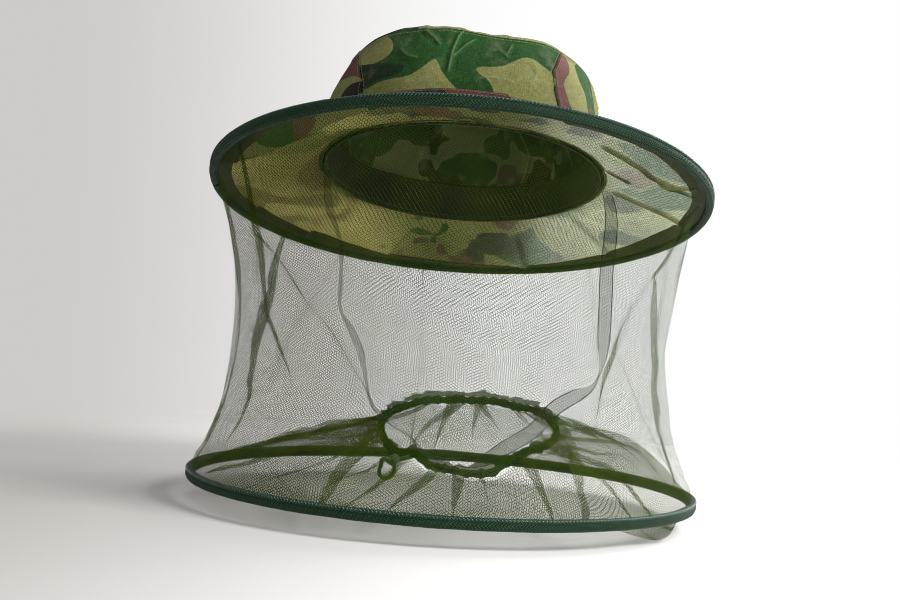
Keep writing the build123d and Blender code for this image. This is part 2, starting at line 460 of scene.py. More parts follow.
# ------------------------------------------------------------------ shader helper
def rgb(*levels):
    """Linear colour from sRGB levels 0 to 255."""
    shares = [level / 255 for level in levels]
    return tuple(c / 12.92 if c <= 0.04045 else ((c + 0.055) / 1.055) ** 2.4
                 for c in shares) + (1.0,)


def dim(colour, factor):
    return tuple(v * factor for v in colour[:3]) + (1.0,)


class Shader:
    """Node tree of a material or world; methods return output sockets."""

    def __init__(self, owner, output="OutputMaterial"):
        owner.use_nodes = True
        self.owner = owner
        self.tree = owner.node_tree
        self.tree.nodes.clear()
        self.output = self.node(output)

    def node(self, kind, inputs=None, **settings):
        node = self.tree.nodes.new("ShaderNode" + kind)
        for name, value in settings.items():
            setattr(node, name, value)
        for key, value in (inputs or {}).items():
            if isinstance(value, bpy.types.NodeSocket):
                self.tree.links.new(value, node.inputs[key])
            else:
                node.inputs[key].default_value = value
        return node

    def math(self, operation, *values):
        return self.node("Math", dict(enumerate(values)), operation=operation).outputs[0]

    def add(self, a, b):
        return self.math("ADD", a, b)

    def sub(self, a, b):
        return self.math("SUBTRACT", a, b)

    def mul(self, a, b):
        return self.math("MULTIPLY", a, b)

    def wave(self, value, period):
        return self.math("SINE", self.mul(value, FULL_TURN / period))

    def vector(self, operation, *values):
        return self.node("VectorMath", dict(enumerate(values)), operation=operation).outputs[0]

    def length(self, vector):
        return self.node("VectorMath", {0: vector}, operation="LENGTH").outputs[1]

    def split(self, vector):
        return self.node("SeparateXYZ", {0: vector}).outputs

    def step(self, value, low, high):
        return self.node("MapRange", {"Value": value, "From Min": low, "From Max": high},
                         interpolation_type="SMOOTHSTEP").outputs[0]

    def mix(self, factor, a, b):
        return self.node("Mix", {0: factor, 6: a, 7: b}, data_type="RGBA").outputs[2]

    def adjust(self, colour, value, saturation=1.0):
        return self.node("HueSaturation", {"Color": colour, "Value": value,
                                           "Saturation": saturation}).outputs[0]

    def attr(self, name):
        return self.node("Attribute", attribute_name=name).outputs["Fac"]

    def raw_uv(self):
        return self.node("UVMap", uv_map="UVMap").outputs[0]

    def uv(self, u=1.0, v=1.0, angle=0.0):
        """UVs in mm, scaled and rotated."""
        return self.node("Mapping", {"Vector": self.raw_uv(), "Scale": (u, v, 1),
                                     "Rotation": (0, 0, angle)}).outputs[0]

    def place(self):
        return self.node("TexCoord").outputs["Object"]

    def noise(self, vector, scale, detail=3.0, rough=0.55):
        return self.node("TexNoise", {"Vector": vector, "Scale": scale, "Detail": detail,
                                      "Roughness": rough}).outputs[0]

    def bump(self, height, distance, strength):
        return self.node("Bump", {"Height": height, "Distance": distance,
                                  "Strength": strength}).outputs[0]

    def principled(self, colour, rough, normal=None, sheen=0.0, metal=0.0, specular=0.12):
        inputs = {"Base Color": colour, "Roughness": rough, "Metallic": metal,
                  "Sheen Weight": sheen, "Sheen Roughness": 0.5, "Specular IOR Level": specular}
        if normal is not None:
            inputs["Normal"] = normal
        return self.node("BsdfPrincipled", inputs).outputs[0]

    def translucent(self, factor, surface, **inputs):
        """The surface with a share of it letting light through."""
        back = self.node("BsdfTranslucent", inputs).outputs[0]
        return self.blend(factor, surface, back)

    def clear(self):
        return self.node("BsdfTransparent").outputs[0]

    def blend(self, factor, a, b):
        return self.node("MixShader", {0: factor, 1: a, 2: b}).outputs[0]

    def finish(self, surface):
        self.tree.links.new(surface, self.output.inputs["Surface"])
        return self.owner


def new_material(name):
    return Shader(bpy.data.materials.new(name))


# ------------------------------------------------------------------ materials
# printed colours, each with the second shade it drifts into
KHAKI = (rgb(130, 130, 74), rgb(108, 109, 58))
GREEN = (rgb(25, 74, 18), rgb(17, 58, 13))
BROWN = (rgb(100, 60, 54), rgb(84, 50, 46))
DARK = (rgb(42, 34, 40), rgb(30, 25, 30))
DEEP_GREEN = rgb(14, 38, 16)
WEAVE_PITCH = {"linen": 0.62, "organza": 0.55}


def linen(mat):
    """(tone, height) of a plain weave with long slubs both ways."""
    slub_u = mat.noise(mat.uv(0.22, 2.6), 1.0, detail=2.0, rough=0.6)
    slub_v = mat.noise(mat.uv(2.6, 0.22), 1.0, detail=2.0, rough=0.6)
    u, v = mat.split(mat.uv())[:2]
    pitch = WEAVE_PITCH["linen"]
    weave = mat.mul(mat.wave(u, pitch), mat.wave(v, pitch))
    slub = mat.add(slub_u, slub_v)
    # the weave's small share of the tone is darker in its hollows: painted shade; the slub share
    # is yarn tone
    tone = mat.add(mat.mul(mat.sub(slub, 1.0), 1.5), mat.mul(weave, 0.05))
    return tone, mat.add(mat.mul(slub, 0.6), mat.mul(weave, 0.25))


def backlight(mat, surface, colour, normal):
    """Light coming through the cloth where the lit attribute is high; its colour is painted
    light: the cloth colour lifted and mixed with a pale tint that is whiter on the right (+X).
    """
    grain = mat.step(mat.noise(mat.place(), 620.0, detail=2.0, rough=0.7), 0.42, 0.60)
    # painted light: the tint is cooler white on the right (+X), the side the light falls from
    right = mat.step(mat.split(mat.place())[0], -0.08, 0.08)
    pale = mat.mix(right, rgb(240, 232, 184), rgb(236, 240, 234))
    # painted glow: the cloth colour brightened well above its own
    painted_glow = mat.adjust(colour, value=mat.add(0.95, mat.mul(grain, 1.5)), saturation=0.58)
    through = mat.mix(mat.add(0.36, mat.mul(grain, 0.26)), painted_glow, pale)
    return mat.translucent(mat.attr("lit"), surface, Color=through, Normal=normal)


def camo(name, value=1.0, saturation=1.0, slub=0.95, lit=False):
    """Printed cloth: the camo_* attributes are signed distances into each colour."""
    mat = new_material(name)
    broad = mat.noise(mat.place(), 14.0, detail=4.0)
    fuzz = mat.mul(mat.sub(mat.noise(mat.uv(), 0.9), 0.5), 1.1)     # frays the print edges

    def shade(pair, low=0.4, high=0.6):
        return mat.mix(mat.step(broad, low, high), *pair)

    def area(key):
        return mat.step(mat.add(mat.attr(key), fuzz), -0.35, 0.35)

    colour = shade(KHAKI, high=0.62)
    colour = mat.mix(area("camo_g"), colour, shade(GREEN, low=0.38))
    colour = mat.mix(area("camo_v"), colour, DEEP_GREEN)
    colour = mat.mix(area("camo_b"), colour, shade(BROWN))
    colour = mat.mix(area("camo_d"), colour, shade(DARK))
    tone, height = linen(mat)
    colour = mat.adjust(colour, mat.add(value, mat.mul(tone, slub)), saturation)
    # painted highlight: pale glints on the slubs
    painted_slub_glints = mat.mul(mat.step(tone, 0.05, 0.75), 0.22 * slub)
    colour = mat.mix(painted_slub_glints, colour, rgb(142, 162, 118))
    worn = mat.step(mat.noise(mat.place(), 55.0, detail=5.0), 0.52, 0.75)
    mottle = mat.mul(mat.sub(mat.noise(mat.place(), 420.0, rough=0.7), 0.5), 0.6)
    colour = mat.adjust(colour, mat.add(1.0, mottle))
    colour = mat.mix(mat.mul(worn, 0.10), colour, rgb(200, 200, 170))
    # paler crease lines: painted highlight on the ridges, and wear
    colour = mat.mix(mat.mul(mat.attr("crease"), 0.34), colour, rgb(176, 190, 150))
    normal = mat.bump(height, distance=0.0004, strength=0.7)
    rough = mat.add(0.82, mat.mul(tone, 0.1))
    surface = mat.principled(colour, rough, normal, sheen=0.03)
    if lit:
        surface = backlight(mat, surface, colour, normal)
    return mat.finish(surface)


def tape(name, base, light, dark, rib_pitch, rough=0.55):
    """Twill tape with zigzag ribs; light is a painted highlight on the rib crests and dark is
    painted shade in the grooves.
    """
    mat = new_material(name)
    u, v = mat.split(mat.raw_uv())[:2]
    zigzag = mat.math("PINGPONG", v, 1.9)
    slant = mat.wave(mat.add(u, mat.mul(zigzag, 1.25)), rib_pitch)
    cross = mat.wave(v, 0.72)
    rib = mat.mul(mat.add(slant, mat.mul(cross, 0.35)), 0.5)
    broad = mat.noise(mat.place(), 22.0, detail=4.0)
    fine = mat.noise(mat.uv(0.5, 2.0), 1.0)
    # painted shade in the rib grooves (dark) and painted highlight on the rib crests (light)
    colour = mat.mix(mat.step(rib, -0.45, 0.65), dark, base)
    colour = mat.mix(mat.mul(mat.step(rib, 0.3, 0.7), 0.55), colour, light)
    colour = mat.mix(mat.mul(mat.step(broad, 0.45, 0.75), 0.35), colour, dark)
    colour = mat.mix(mat.mul(mat.step(fine, 0.55, 0.8), 0.25), colour, light)
    normal = mat.bump(rib, distance=0.00022, strength=0.8)
    return mat.finish(mat.principled(colour, rough, normal, sheen=0.04))


def thread(name, colour):
    mat = new_material(name)
    fuzz = mat.noise(mat.place(), 900.0, detail=2.0)
    shade = mat.mix(mat.step(fuzz, 0.35, 0.7), colour, dim(colour, 0.6))
    normal = mat.bump(fuzz, distance=0.0001, strength=0.5)
    return mat.finish(mat.principled(shade, rough=0.5, normal=normal, sheen=0.3))


def hexnet(name, colour, second, pitch=1.75, strand=0.084, fill=0.0, squeeze=1.0, angle=0.62):
    """Hexagonal net with open cells; strand is half a strand's width in cells, and fill the
    least opacity of a cell."""
    mat = new_material(name)
    uv = mat.uv(1 / pitch, squeeze / pitch, angle)
    wobble = mat.node("TexNoise", {"Vector": uv, "Scale": 0.35, "Detail": 1.0}).outputs[1]
    wobble = mat.vector("SUBTRACT", wobble, (0.5, 0.5, 0.5))
    wobble = mat.node("VectorMath", {0: wobble, "Scale": 0.35}, operation="SCALE").outputs[0]
    u, v = mat.split(mat.vector("ADD", uv, wobble))[:2]
    # moved far from zero, so that the modulo sees only positive places
    flat = mat.node("CombineXYZ", {0: mat.add(u, 4000.0),
                                   1: mat.add(v, 4000.0 * 1.7320508)}).outputs[0]
    cell, half = (1.0, 1.7320508, 1.0), (0.5, 0.8660254, 0.0)
    first = mat.vector("SUBTRACT", mat.vector("MODULO", flat, cell), half)
    shifted = mat.vector("MODULO", mat.vector("SUBTRACT", flat, half), cell)
    other = mat.vector("SUBTRACT", shifted, half)
    pick = mat.math("LESS_THAN", mat.length(first), mat.length(other))
    nearest = mat.node("Mix", {0: pick, 4: other, 5: first}, data_type="VECTOR").outputs[1]
    x, y = mat.split(mat.vector("ABSOLUTE", nearest))[:2]
    reach = mat.math("MAXIMUM", mat.add(mat.mul(x, 0.5), mat.mul(y, 0.8660254)), x)
    edge = mat.sub(0.5, reach)
    # dense widens the strands: for a pleat's extra layers, and towards the left (-X) as painted
    # shade
    wide = mat.mul(strand, mat.add(1.0, mat.mul(mat.attr("dense"), 0.45)))
    solid = mat.step(edge, wide, mat.mul(wide, 0.6))
    if fill:
        solid = mat.math("MAXIMUM", solid, fill)
    shade = mat.mix(mat.step(mat.noise(mat.place(), 35.0), 0.35, 0.7), colour, second)
    # painted highlight: a glint colour along the middle of each strand
    crest = mat.mul(mat.step(edge, strand * 0.5, 0.0), 0.25)
    shade = mat.mix(crest, shade, rgb(84, 112, 46))
    normal = mat.bump(solid, distance=0.00012, strength=0.5)
    surface = mat.principled(shade, rough=0.75, normal=normal, specular=0.03)
    surface = mat.translucent(0.3, surface, Color=shade)
    return mat.finish(mat.blend(solid, mat.clear(), surface))


def organza(name):
    """Sheer ribbon with near-opaque selvedges; across runs -1 to 1 over its width."""
    mat = new_material(name)
    across = mat.math("ABSOLUTE", mat.attr("across"))
    u, v = mat.split(mat.uv())[:2]
    pitch = WEAVE_PITCH["organza"]
    weave = mat.math("MAXIMUM", mat.wave(u, pitch), mat.wave(v, pitch))
    slub = mat.noise(mat.uv(0.1, 2.2), 1.0, detail=2.0)
    colour = mat.mix(mat.step(slub, 0.35, 0.7), rgb(20, 21, 19), rgb(44, 47, 42))
    body = mat.add(0.28, mat.mul(mat.step(weave, 0.0, 1.0), 0.20))
    selvedge = mat.mul(mat.step(across, 0.80, 0.90), 0.94)
    solid = mat.math("MAXIMUM", body, selvedge)
    normal = mat.bump(weave, distance=0.0001, strength=0.5)
    surface = mat.principled(colour, rough=0.5, normal=normal, sheen=0.06)
    surface = mat.translucent(0.25, surface, Color=colour)
    return mat.finish(mat.blend(solid, mat.clear(), surface))


def metal(name, colour, rough, streak):
    mat = new_material(name)
    fine = mat.noise(mat.place(), streak, rough=0.5)
    broad = mat.noise(mat.place(), 40.0, detail=4.0, rough=0.5)
    shade = mat.mix(mat.mul(mat.step(broad, 0.5, 0.75), 0.4), colour, dim(colour, 0.5))
    normal = mat.bump(fine, distance=0.00005, strength=0.4)
    rough = mat.add(rough, mat.mul(fine, 0.2))
    return mat.finish(mat.principled(shade, rough, normal, metal=1.0, specular=0.5))


def cord(name, colour):
    mat = new_material(name)
    u, v = mat.split(mat.uv())[:2]
    ply = mat.math("SINE", mat.add(mat.mul(u, 4.2), mat.mul(v, 1.6)))
    fuzz = mat.noise(mat.place(), 300.0)
    # painted shade: darker in the grooves between the plies
    shade = mat.mix(mat.step(ply, -0.6, 0.6), dim(colour, 0.45), colour)
    shade = mat.mix(mat.mul(fuzz, 0.3), shade, rgb(90, 120, 80))
    normal = mat.bump(ply, distance=0.0002, strength=0.7)
    return mat.finish(mat.principled(shade, rough=0.6, normal=normal, sheen=0.3))


CAMO = camo("camo_cloth_print", saturation=0.93)
TOP_CAMO = camo("camo_top_print", saturation=0.74)
# wrong side of the print, darkened to half: painted shade inside the crown
SHADED_LINING = camo("camo_wrong_side_shaded", value=0.5, saturation=0.65, slub=0.4)
BRIM_CAMO = camo("camo_brim_print", value=1.05, lit=True)
BAND_CAMO = camo("camo_band_print", value=0.98)
# for all these tapes, light is a painted highlight on the rib crests and dark is painted shade in
# the grooves
BINDING = tape("binding_twill", base=rgb(22, 52, 30), light=rgb(72, 116, 82),
               dark=rgb(6, 20, 10), rib_pitch=2.3, rough=0.62)
WELT = tape("binding_welt", base=rgb(28, 66, 48), light=rgb(106, 152, 128),
            dark=rgb(5, 18, 12), rib_pitch=2.3, rough=0.4)
FACING = tape("brim_facing_tape", base=rgb(58, 60, 24), light=rgb(90, 88, 46),
              dark=rgb(26, 32, 10), rib_pitch=1.6)
SWEATBAND = tape("sweatband_twill", base=rgb(36, 31, 33), light=rgb(60, 54, 54),
                 dark=rgb(14, 12, 14), rib_pitch=1.4)
# pale thread on the corded lip, its pale colour partly a painted highlight on the lip
PALE_HIGHLIGHT_THREAD = thread("thread_pale_green", rgb(168, 196, 172))
DARK_THREAD = thread("thread_dark_green", rgb(30, 58, 44))
KHAKI_THREAD = thread("thread_khaki", rgb(120, 118, 80))
VEIL_NET = hexnet("net_hex", rgb(66, 82, 14), rgb(42, 58, 6), pitch=1.89, squeeze=1.2)
COLLAR_NET = hexnet("net_hex_collar", rgb(66, 78, 22), rgb(40, 53, 12), strand=0.122, angle=0.3)
CASING_NET = hexnet("net_hem_gathered", rgb(34, 62, 24), rgb(18, 38, 10), strand=0.17, fill=0.72)
RIBBON = organza("organza_black")
STEEL = metal("spring_steel", rgb(170, 172, 176), rough=0.28, streak=400.0)
ALUMINIUM = metal("ferrule_aluminium", rgb(214, 216, 218), rough=0.22, streak=250.0)
CORD = cord("elastic_cord", rgb(40, 66, 36))

# ------------------------------------------------------------------ camouflage on the crown
# Outlines are (arc, z): arc is 100 x the angle from the front in radians, z is mm up the axis.
KHAKI_OVAL = [(-121, 80), (-101, 82), (-84, 77), (-67, 67), (-60.7, 57.7), (-64, 51.3),
              (-73, 48.9), (-85.5, 48.7), (-93.6, 54.5), (-103, 66)]
BROWN_LEFT = [(-112, 74), (-91, 50.5), (-84.7, 42.4), (-76.7, 35.6), (-90.4, 43.4),
              (-105, 47.8), (-124, 52.4), (-118, 64)]
KHAKI_LEFT = [(-101.5, 46.4), (-90.4, 43.4), (-77.9, 36.7), (-82, 35.4), (-92.9, 36.8),
              (-100, 30), (-112, 20), (-135, 24), (-138, 50)]
DARK_LEFT = [(-106, 27), (-98, 35.7), (-90.7, 37.5), (-76.4, 35.4), (-73.5, 32.3), (-80, 28),
             (-89, 23), (-100, 20)]
DEEP_LEFT = [(-88.7, 50.5), (-81, 49.6), (-62, 46), (-48, 42.7), (-47, 38.1), (-52.2, 35.3),
             (-60.8, 34.1), (-75.4, 33.8), (-84.7, 42.4)]
KHAKI_TRIANGLE = [(-24.3, 45.3), (-19, 35.9), (-14.2, 28.9), (-7.7, 21.2), (-6, 10), (-50, 8),
                  (-84, 22), (-68, 30.4), (-56, 32.4), (-41, 33.7), (-31.5, 40.1)]
KHAKI_BLOB = [(3.9, 38.4), (6.8, 41), (20.5, 44.1), (28.5, 49.2), (37.2, 54.9), (44.5, 55.4),
              (52, 52), (61.6, 45.9), (62.7, 40), (59.2, 35), (60.5, 28), (64, 21), (62, 8),
              (30, 8), (17.5, 14), (15.5, 24), (12.5, 30), (7.4, 34.1)]
BROWN_RIGHT = [(78, 71), (84, 66), (79.5, 55.3), (72, 46.3), (70.6, 38.7), (73.4, 32.6),
               (74.5, 25.8), (79, 18), (74, 6), (63, 6), (63.5, 20), (64.1, 25.4),
               (61.5, 33.3), (63, 43.8), (61.7, 50.5), (69.3, 61)]
KHAKI_RIGHT = [(85.8, 80), (96, 71), (93, 60), (97.2, 49.3), (98.6, 38.3), (101, 24), (96, 6),
               (78, 6), (79, 20), (74, 30), (70.6, 38.7), (72.6, 46.7), (80, 55.5), (83.5, 66),
               (79.2, 76)]
GREEN_RIGHT = [(95, 69), (112, 66), (119, 52), (114, 38), (104, 33), (100.8, 38), (98.1, 46),
               (92.6, 56)]
BROWN_LOW_RIGHT = [(100, 33), (111, 39), (118, 26), (112, 8), (99, 10)]

# free camouflage: attribute, patch size mm, seed step, octaves, noise level of the edge, gain
CAMO_NOISE = [("camo_g", 46, 0, 3, 0.02, 34), ("camo_b", 34, 5, 3, 0.34, 26),
              ("camo_d", 30, 9, 3, 0.42, 22), ("camo_v", 24, 13, 2, 0.62, 20)]


def camo_fields(green, brown, dark, deep):
    return {"camo_g": green, "camo_b": brown, "camo_d": dark, "camo_v": deep}


def camo_free(x, y, z, seed):
    """Camouflage made from noise alone."""
    return {key: (fbm(x / size, y / size, z / size, seed + step, octaves) - level) * gain
            for key, size, step, octaves, level, gain in CAMO_NOISE}


def lay(free, drawn, weight):
    """Drawn patches over the free ones, by weight."""
    return {key: free[key] * (1 - weight) + drawn[key] * weight for key in free}


def camo_crown(arc, z, points):
    khaki = inside(arc, z, KHAKI_OVAL, KHAKI_LEFT, KHAKI_TRIANGLE, KHAKI_BLOB, KHAKI_RIGHT)
    drawn = camo_fields(green=np.maximum(-khaki, inside(arc, z, GREEN_RIGHT)),
                        brown=inside(arc, z, BROWN_LEFT, BROWN_RIGHT, BROWN_LOW_RIGHT),
                        dark=inside(arc, z, DARK_LEFT), deep=inside(arc, z, DEEP_LEFT))
    free = camo_free(*np.moveaxis(points, -1, 0), seed=3)
    return lay(free, drawn, ease((132 - np.abs(arc + 4)) / 18))


# ------------------------------------------------------------------ crown surface
Z_RIM = 72.5
HALF_ARC = 314.159
FULL_ARC = 2 * HALF_ARC
PROFILE_Z = np.array([-1, 0, 10, 20, 28, 38, 48, 58, 66, 70, Z_RIM])
PROFILE_R = np.array([102.2, 102.6, 103.6, 103.8, 103.2, 101.2, 98.2, 94.2, 90.4, 88.2, 86.8])
# creases: line of (arc, z), depth, width
CREASES = [([(-40, 74), (-38, 72), (-28, 64), (-21, 56.5)], 1.3, 1.7),
           ([(-6, 74), (-10, 66), (-12.8, 54), (-14.4, 31.6)], 1.6, 1.8),
           ([(3, 66), (-3, 60), (-8, 54), (-12.7, 47)], 1.2, 1.5),
           ([(27.5, 52), (22, 58), (16, 66)], 1.1, 1.5),
           ([(31, 67), (28, 61), (25.6, 56)], 1.0, 1.4),
           ([(-55, 58), (-46, 50), (-36, 47)], 0.9, 3.0),
           ([(40, 30), (47, 44), (45, 55)], 0.8, 3.0),
           ([(4, 31), (14, 34), (30, 33)], 0.8, 2.6),
           ([(120, 70), (128, 48), (124, 28)], 1.6, 3.0),
           ([(165, 72), (158, 55), (170, 34)], 1.6, 3.0),
           ([(-150, 70), (-160, 48), (-152, 30)], 1.6, 3.0),
           ([(210, 70), (222, 52), (216, 30)], 1.5, 3.0),
           ([(265, 70), (258, 50), (268, 26)], 1.5, 3.0),
           ([(-215, 68), (-206, 46), (-219, 26)], 1.5, 3.0)]
# how far the rim rises or sinks: arcs, then heights
SLUMP_ARC = [-314, -160, -105, -80, -60, -40, -20, 0, 15, 30, 45, 62, 85, 150, 314]
SLUMP_Z = [0.5, -1.5, 1.0, 2.6, 3.0, 2.2, 0.4, -1.6, -3.2, -2.6, -1.0, 0.8, 0.4, -1.5, 0.5]
TOPSTITCH = dict(pitch=2.8, length=2.0, radius=0.2)


def ring_arcs(count):
    return np.arange(count) / count * FULL_ARC


def centred(arc):
    """Arc brought to within half a turn of the front."""
    return (arc + HALF_ARC) % FULL_ARC - HALF_ARC


def from_front(arc):
    """Hat-local (x, y) direction at an arc."""
    return np.sin(arc / 100), -np.cos(arc / 100)


def seam_arc(index, z):
    """Where a seam crosses a height: front left, front right, back right, back left."""
    if index == 0:
        return np.interp(z, [0, 22, 35, 50, 66, 72, 80], [-76, -77, -80, -89, -101, -106, -111])
    if index == 1:
        return np.interp(z, [0, 22, 35, 50, 62, 72, 80], [63, 63.5, 61, 61.5, 70, 79, 84])
    if index == 2:
        return 235 + 3 * np.sin(z / 14)
    return -236 + 3 * np.sin(z / 12 + 1) + FULL_TURN * 100


def crease_at(arc, z):
    """How far a point is on a crease line, 0 to 1; the shader pales these lines, a painted
    highlight on the ridges and wear.
    """
    worn = np.zeros(arc.shape)
    for line, depth, _ in CREASES:
        distance, _, along = near_line(arc, z, line)
        ends = ease(along * 8) * ease((1 - along) * 6)
        worn = np.maximum(worn, bump(distance, 0.55) * ends * min(1.0, depth / 2.0))
    return worn


def outline_noise(x, y, z):
    """Slow wander of the crown's radius, shared with the top."""
    return fbm(x * 2.2 + 3, y * 2.2, z / 42, seed=21)


def rim_wave(x, y):
    return 0.8 * fbm(x * 5, y * 5, 0.5, seed=31, octaves=2)


def crown(arc, z, lift=0.0):
    """Places on the crown surface, or lift outside it."""
    arc, z = np.broadcast_arrays(np.asarray(arc, float), np.asarray(z, float))
    near = centred(arc)
    up = np.clip(z / Z_RIM, 0, 1.2)
    x, y = from_front(arc)
    radius = np.interp(z, PROFILE_Z, PROFILE_R)
    radius = radius + 1.9 * outline_noise(x, y, z) * (0.35 + 0.65 * up)
    radius = radius + 0.7 * fbm(x * 7, y * 7, z / 14, seed=22, octaves=2) * up
    for line, depth, width in CREASES:
        distance, side, along = near_line(near, z, line)
        fade = ease(along * 6) * ease((1 - along) * 5)
        beside = distance - width * np.where(side > 0, 1.7, 2.1)
        ridge = depth * np.exp(-distance / (width * 0.5))
        radius = radius + fade * (ridge - 0.55 * depth * bump(beside, width * 1.2))
    for index in range(4):
        for around in (-FULL_ARC, 0, FULL_ARC):
            distance = np.abs(arc - seam_arc(index, z) + around)
            puff = 0.35 * bump(distance - 2.6, 1.3) * (1 + 0.3 * np.sin(z * 1.4))
            radius = radius - 1.1 * bump(distance, 0.9) + puff
    # the cloth pinches in at the rim seam, and is pushed in low at the back right
    radius = radius - 0.9 * bump(z - Z_RIM, 1.0) + 0.5 * bump(z - Z_RIM + 3.2, 1.6)
    radius = radius - 6.0 * bump(near - 150, 56) * ease(z / 16) * (1 - ease((z - 30) / 38))
    slump = np.interp(near, SLUMP_ARC, SLUMP_Z) * np.clip(up, 0, 1.05) ** 2
    return hat((radius + lift) * x, (radius + lift) * y, z + slump + rim_wave(x, y) * up ** 2)


def collapse(ob):
    """Bakes the transform and works out how far up the crown each point is, which is not used
    further.
    """
    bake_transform(ob)
    if "rise" in ob.data.attributes:
        share = np.empty(len(ob.data.vertices), np.float32)
        ob.data.attributes["rise"].data.foreach_get("value", share)
    else:
        share = np.clip((coords(ob) * 1000 - ORIGIN) @ UP / Z_RIM, 0, 1)


def crown_panel(side, index):
    """Side panel from one seam to the next."""
    row = np.linspace(-0.4, Z_RIM, 84)
    start = seam_arc(index, row)
    end = seam_arc((index + 1) % 4, row) + (FULL_ARC if index == 3 else 0.0)
    arc = start + (end - start) * np.linspace(0, 1, 170)[:, None]
    z = np.broadcast_to(row, arc.shape)
    points = crown(arc, z)
    attrs = camo_crown(centred(arc), z, points)
    attrs["crease"] = crease_at(centred(arc), z)
    attrs["rise"] = np.clip(z / Z_RIM, 0, 1)
    ob = grid(f"crown_{side}_panel_cloth", points, CAMO, np.stack([arc, z], -1), attrs=attrs)
    ob.data.materials.append(SHADED_LINING)
    thicken(ob, 0.9, inner=1)
    piece(ob, node=f"crown_{side}_panel")
    collapse(ob)


# top profile: share from rim to centre, radius, height
TOP_SHARE = [0, 0.05, 0.12, 0.2, 0.35, 0.6, 1]
TOP_R = [86.0, 86.4, 84.2, 79, 68, 40, 0.6]
TOP_Z = [72.2, 73.9, 75.3, 76.2, 76.4, 75.2, 74.2]
# folds running in from the rim: angle from the front, reach, height
TOP_FOLDS = [(-0.38, 0.7, 0.7), (-0.08, 0.8, 0.8), (0.27, 0.6, 0.6), (1.6, 0.7, 1.4),
             (2.6, 0.5, 1.2), (-1.9, 0.6, 1.3), (-2.8, 0.5, 1.2)]


def crown_top():
    """Top panel: rolls over the rim seam and sags in the middle."""
    share = np.linspace(0, 1, 46)
    arc, radius = np.meshgrid(ring_arcs(300), np.interp(share, TOP_SHARE, TOP_R), indexing="ij")
    x, y = from_front(arc)
    near = centred(arc)
    rim_share = np.clip(radius / 84, 0, 1)
    ripple = 1.5 * fbm(x * radius / 26, y * radius / 26, 0.2, seed=41) * (1 - bump(share, 0.08))
    fold = np.zeros_like(radius)
    for angle, reach, height in TOP_FOLDS:
        aside = wrap_angle(arc / 100 - angle) * radius
        inward = bump((radius - 84) / 84, reach * 0.5)
        fold += height * (bump(aside, 3.2) - 0.7 * bump(aside - 6, 5.0)) * inward
    slump = np.interp(near, SLUMP_ARC, SLUMP_Z) + rim_wave(x, y)
    z = np.interp(share, TOP_SHARE, TOP_Z) + slump * rim_share ** 2
    z = z + ripple + fold * (1 - bump(share, 0.05))
    wander = radius + outline_noise(x, y, Z_RIM) * rim_share ** 4
    flat_x, flat_y = wander * x, wander * y
    points = hat(flat_x, flat_y, z)
    free = camo_free(points[..., 0], points[..., 1], points[..., 2] + 90, seed=8)
    none = np.full(radius.shape, -9.0)
    green = 9 * np.tanh((-44 - near + 5 * vnoise(near / 9, radius / 9)) / 6)
    drawn = camo_fields(green, none, none, none)
    weight = ease((110 - np.abs(near + 5)) / 30) * ease((radius - 62) / 12)
    ob = grid("crown_top_cloth", points, TOP_CAMO, wrap_uv(flat_x, flat_y), wrap=True,
              attrs=lay(free, drawn, weight))
    ob.data.materials.append(SHADED_LINING)
    thicken(ob, 0.9, inner=1)
    piece(ob, "crown", "crown_top")


def rim_welt():
    """Rolled seam between the sides and the top."""
    sides = 8
    arc = ring_arcs(420)
    path = crown(arc, Z_RIM - 0.2)
    out = unit(hat_dir(*from_front(arc), 0.35))
    tangent = unit(np.roll(path, -1, 0) - np.roll(path, 1, 0))
    section = circle(1.0, sides) * (0.85, 0.7)
    ob = tube("crown_rim_welt", path - out * 0.35, out, np.cross(tangent, out), section,
              BAND_CAMO)
    fields = camo_crown(centred(arc), np.full(arc.shape, 70.0), path)
    add_attributes(ob.data, {key: np.repeat(value, sides) for key, value in fields.items()})
    piece(ob, "crown")


def seam_topstitch():
    """Stitches down both sides of each panel seam."""
    rows = []
    z = np.linspace(3, Z_RIM - 3, 60)
    for index in range(4):
        for side in (-1, 1):
            arc = seam_arc(index, z) + side * 2.1
            out = hat_dir(*from_front(arc), 0.15)
            rows.append(stitches(f"seam{index}{side}", crown(arc, z, 0.12), out, KHAKI_THREAD,
                                 **TOPSTITCH))
    ob = join(rows, "crown_seam_topstitch")
    piece(ob)
    collapse(ob)


def crown_stitch_ring(name, z, lift, tilt):
    arc = ring_arcs(499)
    return stitches(name, crown(arc, z, lift), hat_dir(*from_front(arc), tilt), KHAKI_THREAD,
                    closed=True, **TOPSTITCH)


def rim_topstitch():
    piece(crown_stitch_ring("crown_rim_topstitch", Z_RIM - 2.6, lift=0.12, tilt=0.15),
          "crown")


# ------------------------------------------------------------------ hat band and sweatband
# slanting stripes of the band: arc where each starts, its colour attribute (None is khaki)
BAND_STRIPES = [(-314, "camo_b"), (-230, None), (-180, "camo_d"), (-120, "camo_g"),
                (-65, "camo_b"), (-28, "camo_d"), (-8, "camo_b"), (34, None), (66, "camo_b"),
                (120, "camo_g"), (170, None), (240, "camo_b"), (314, None)]


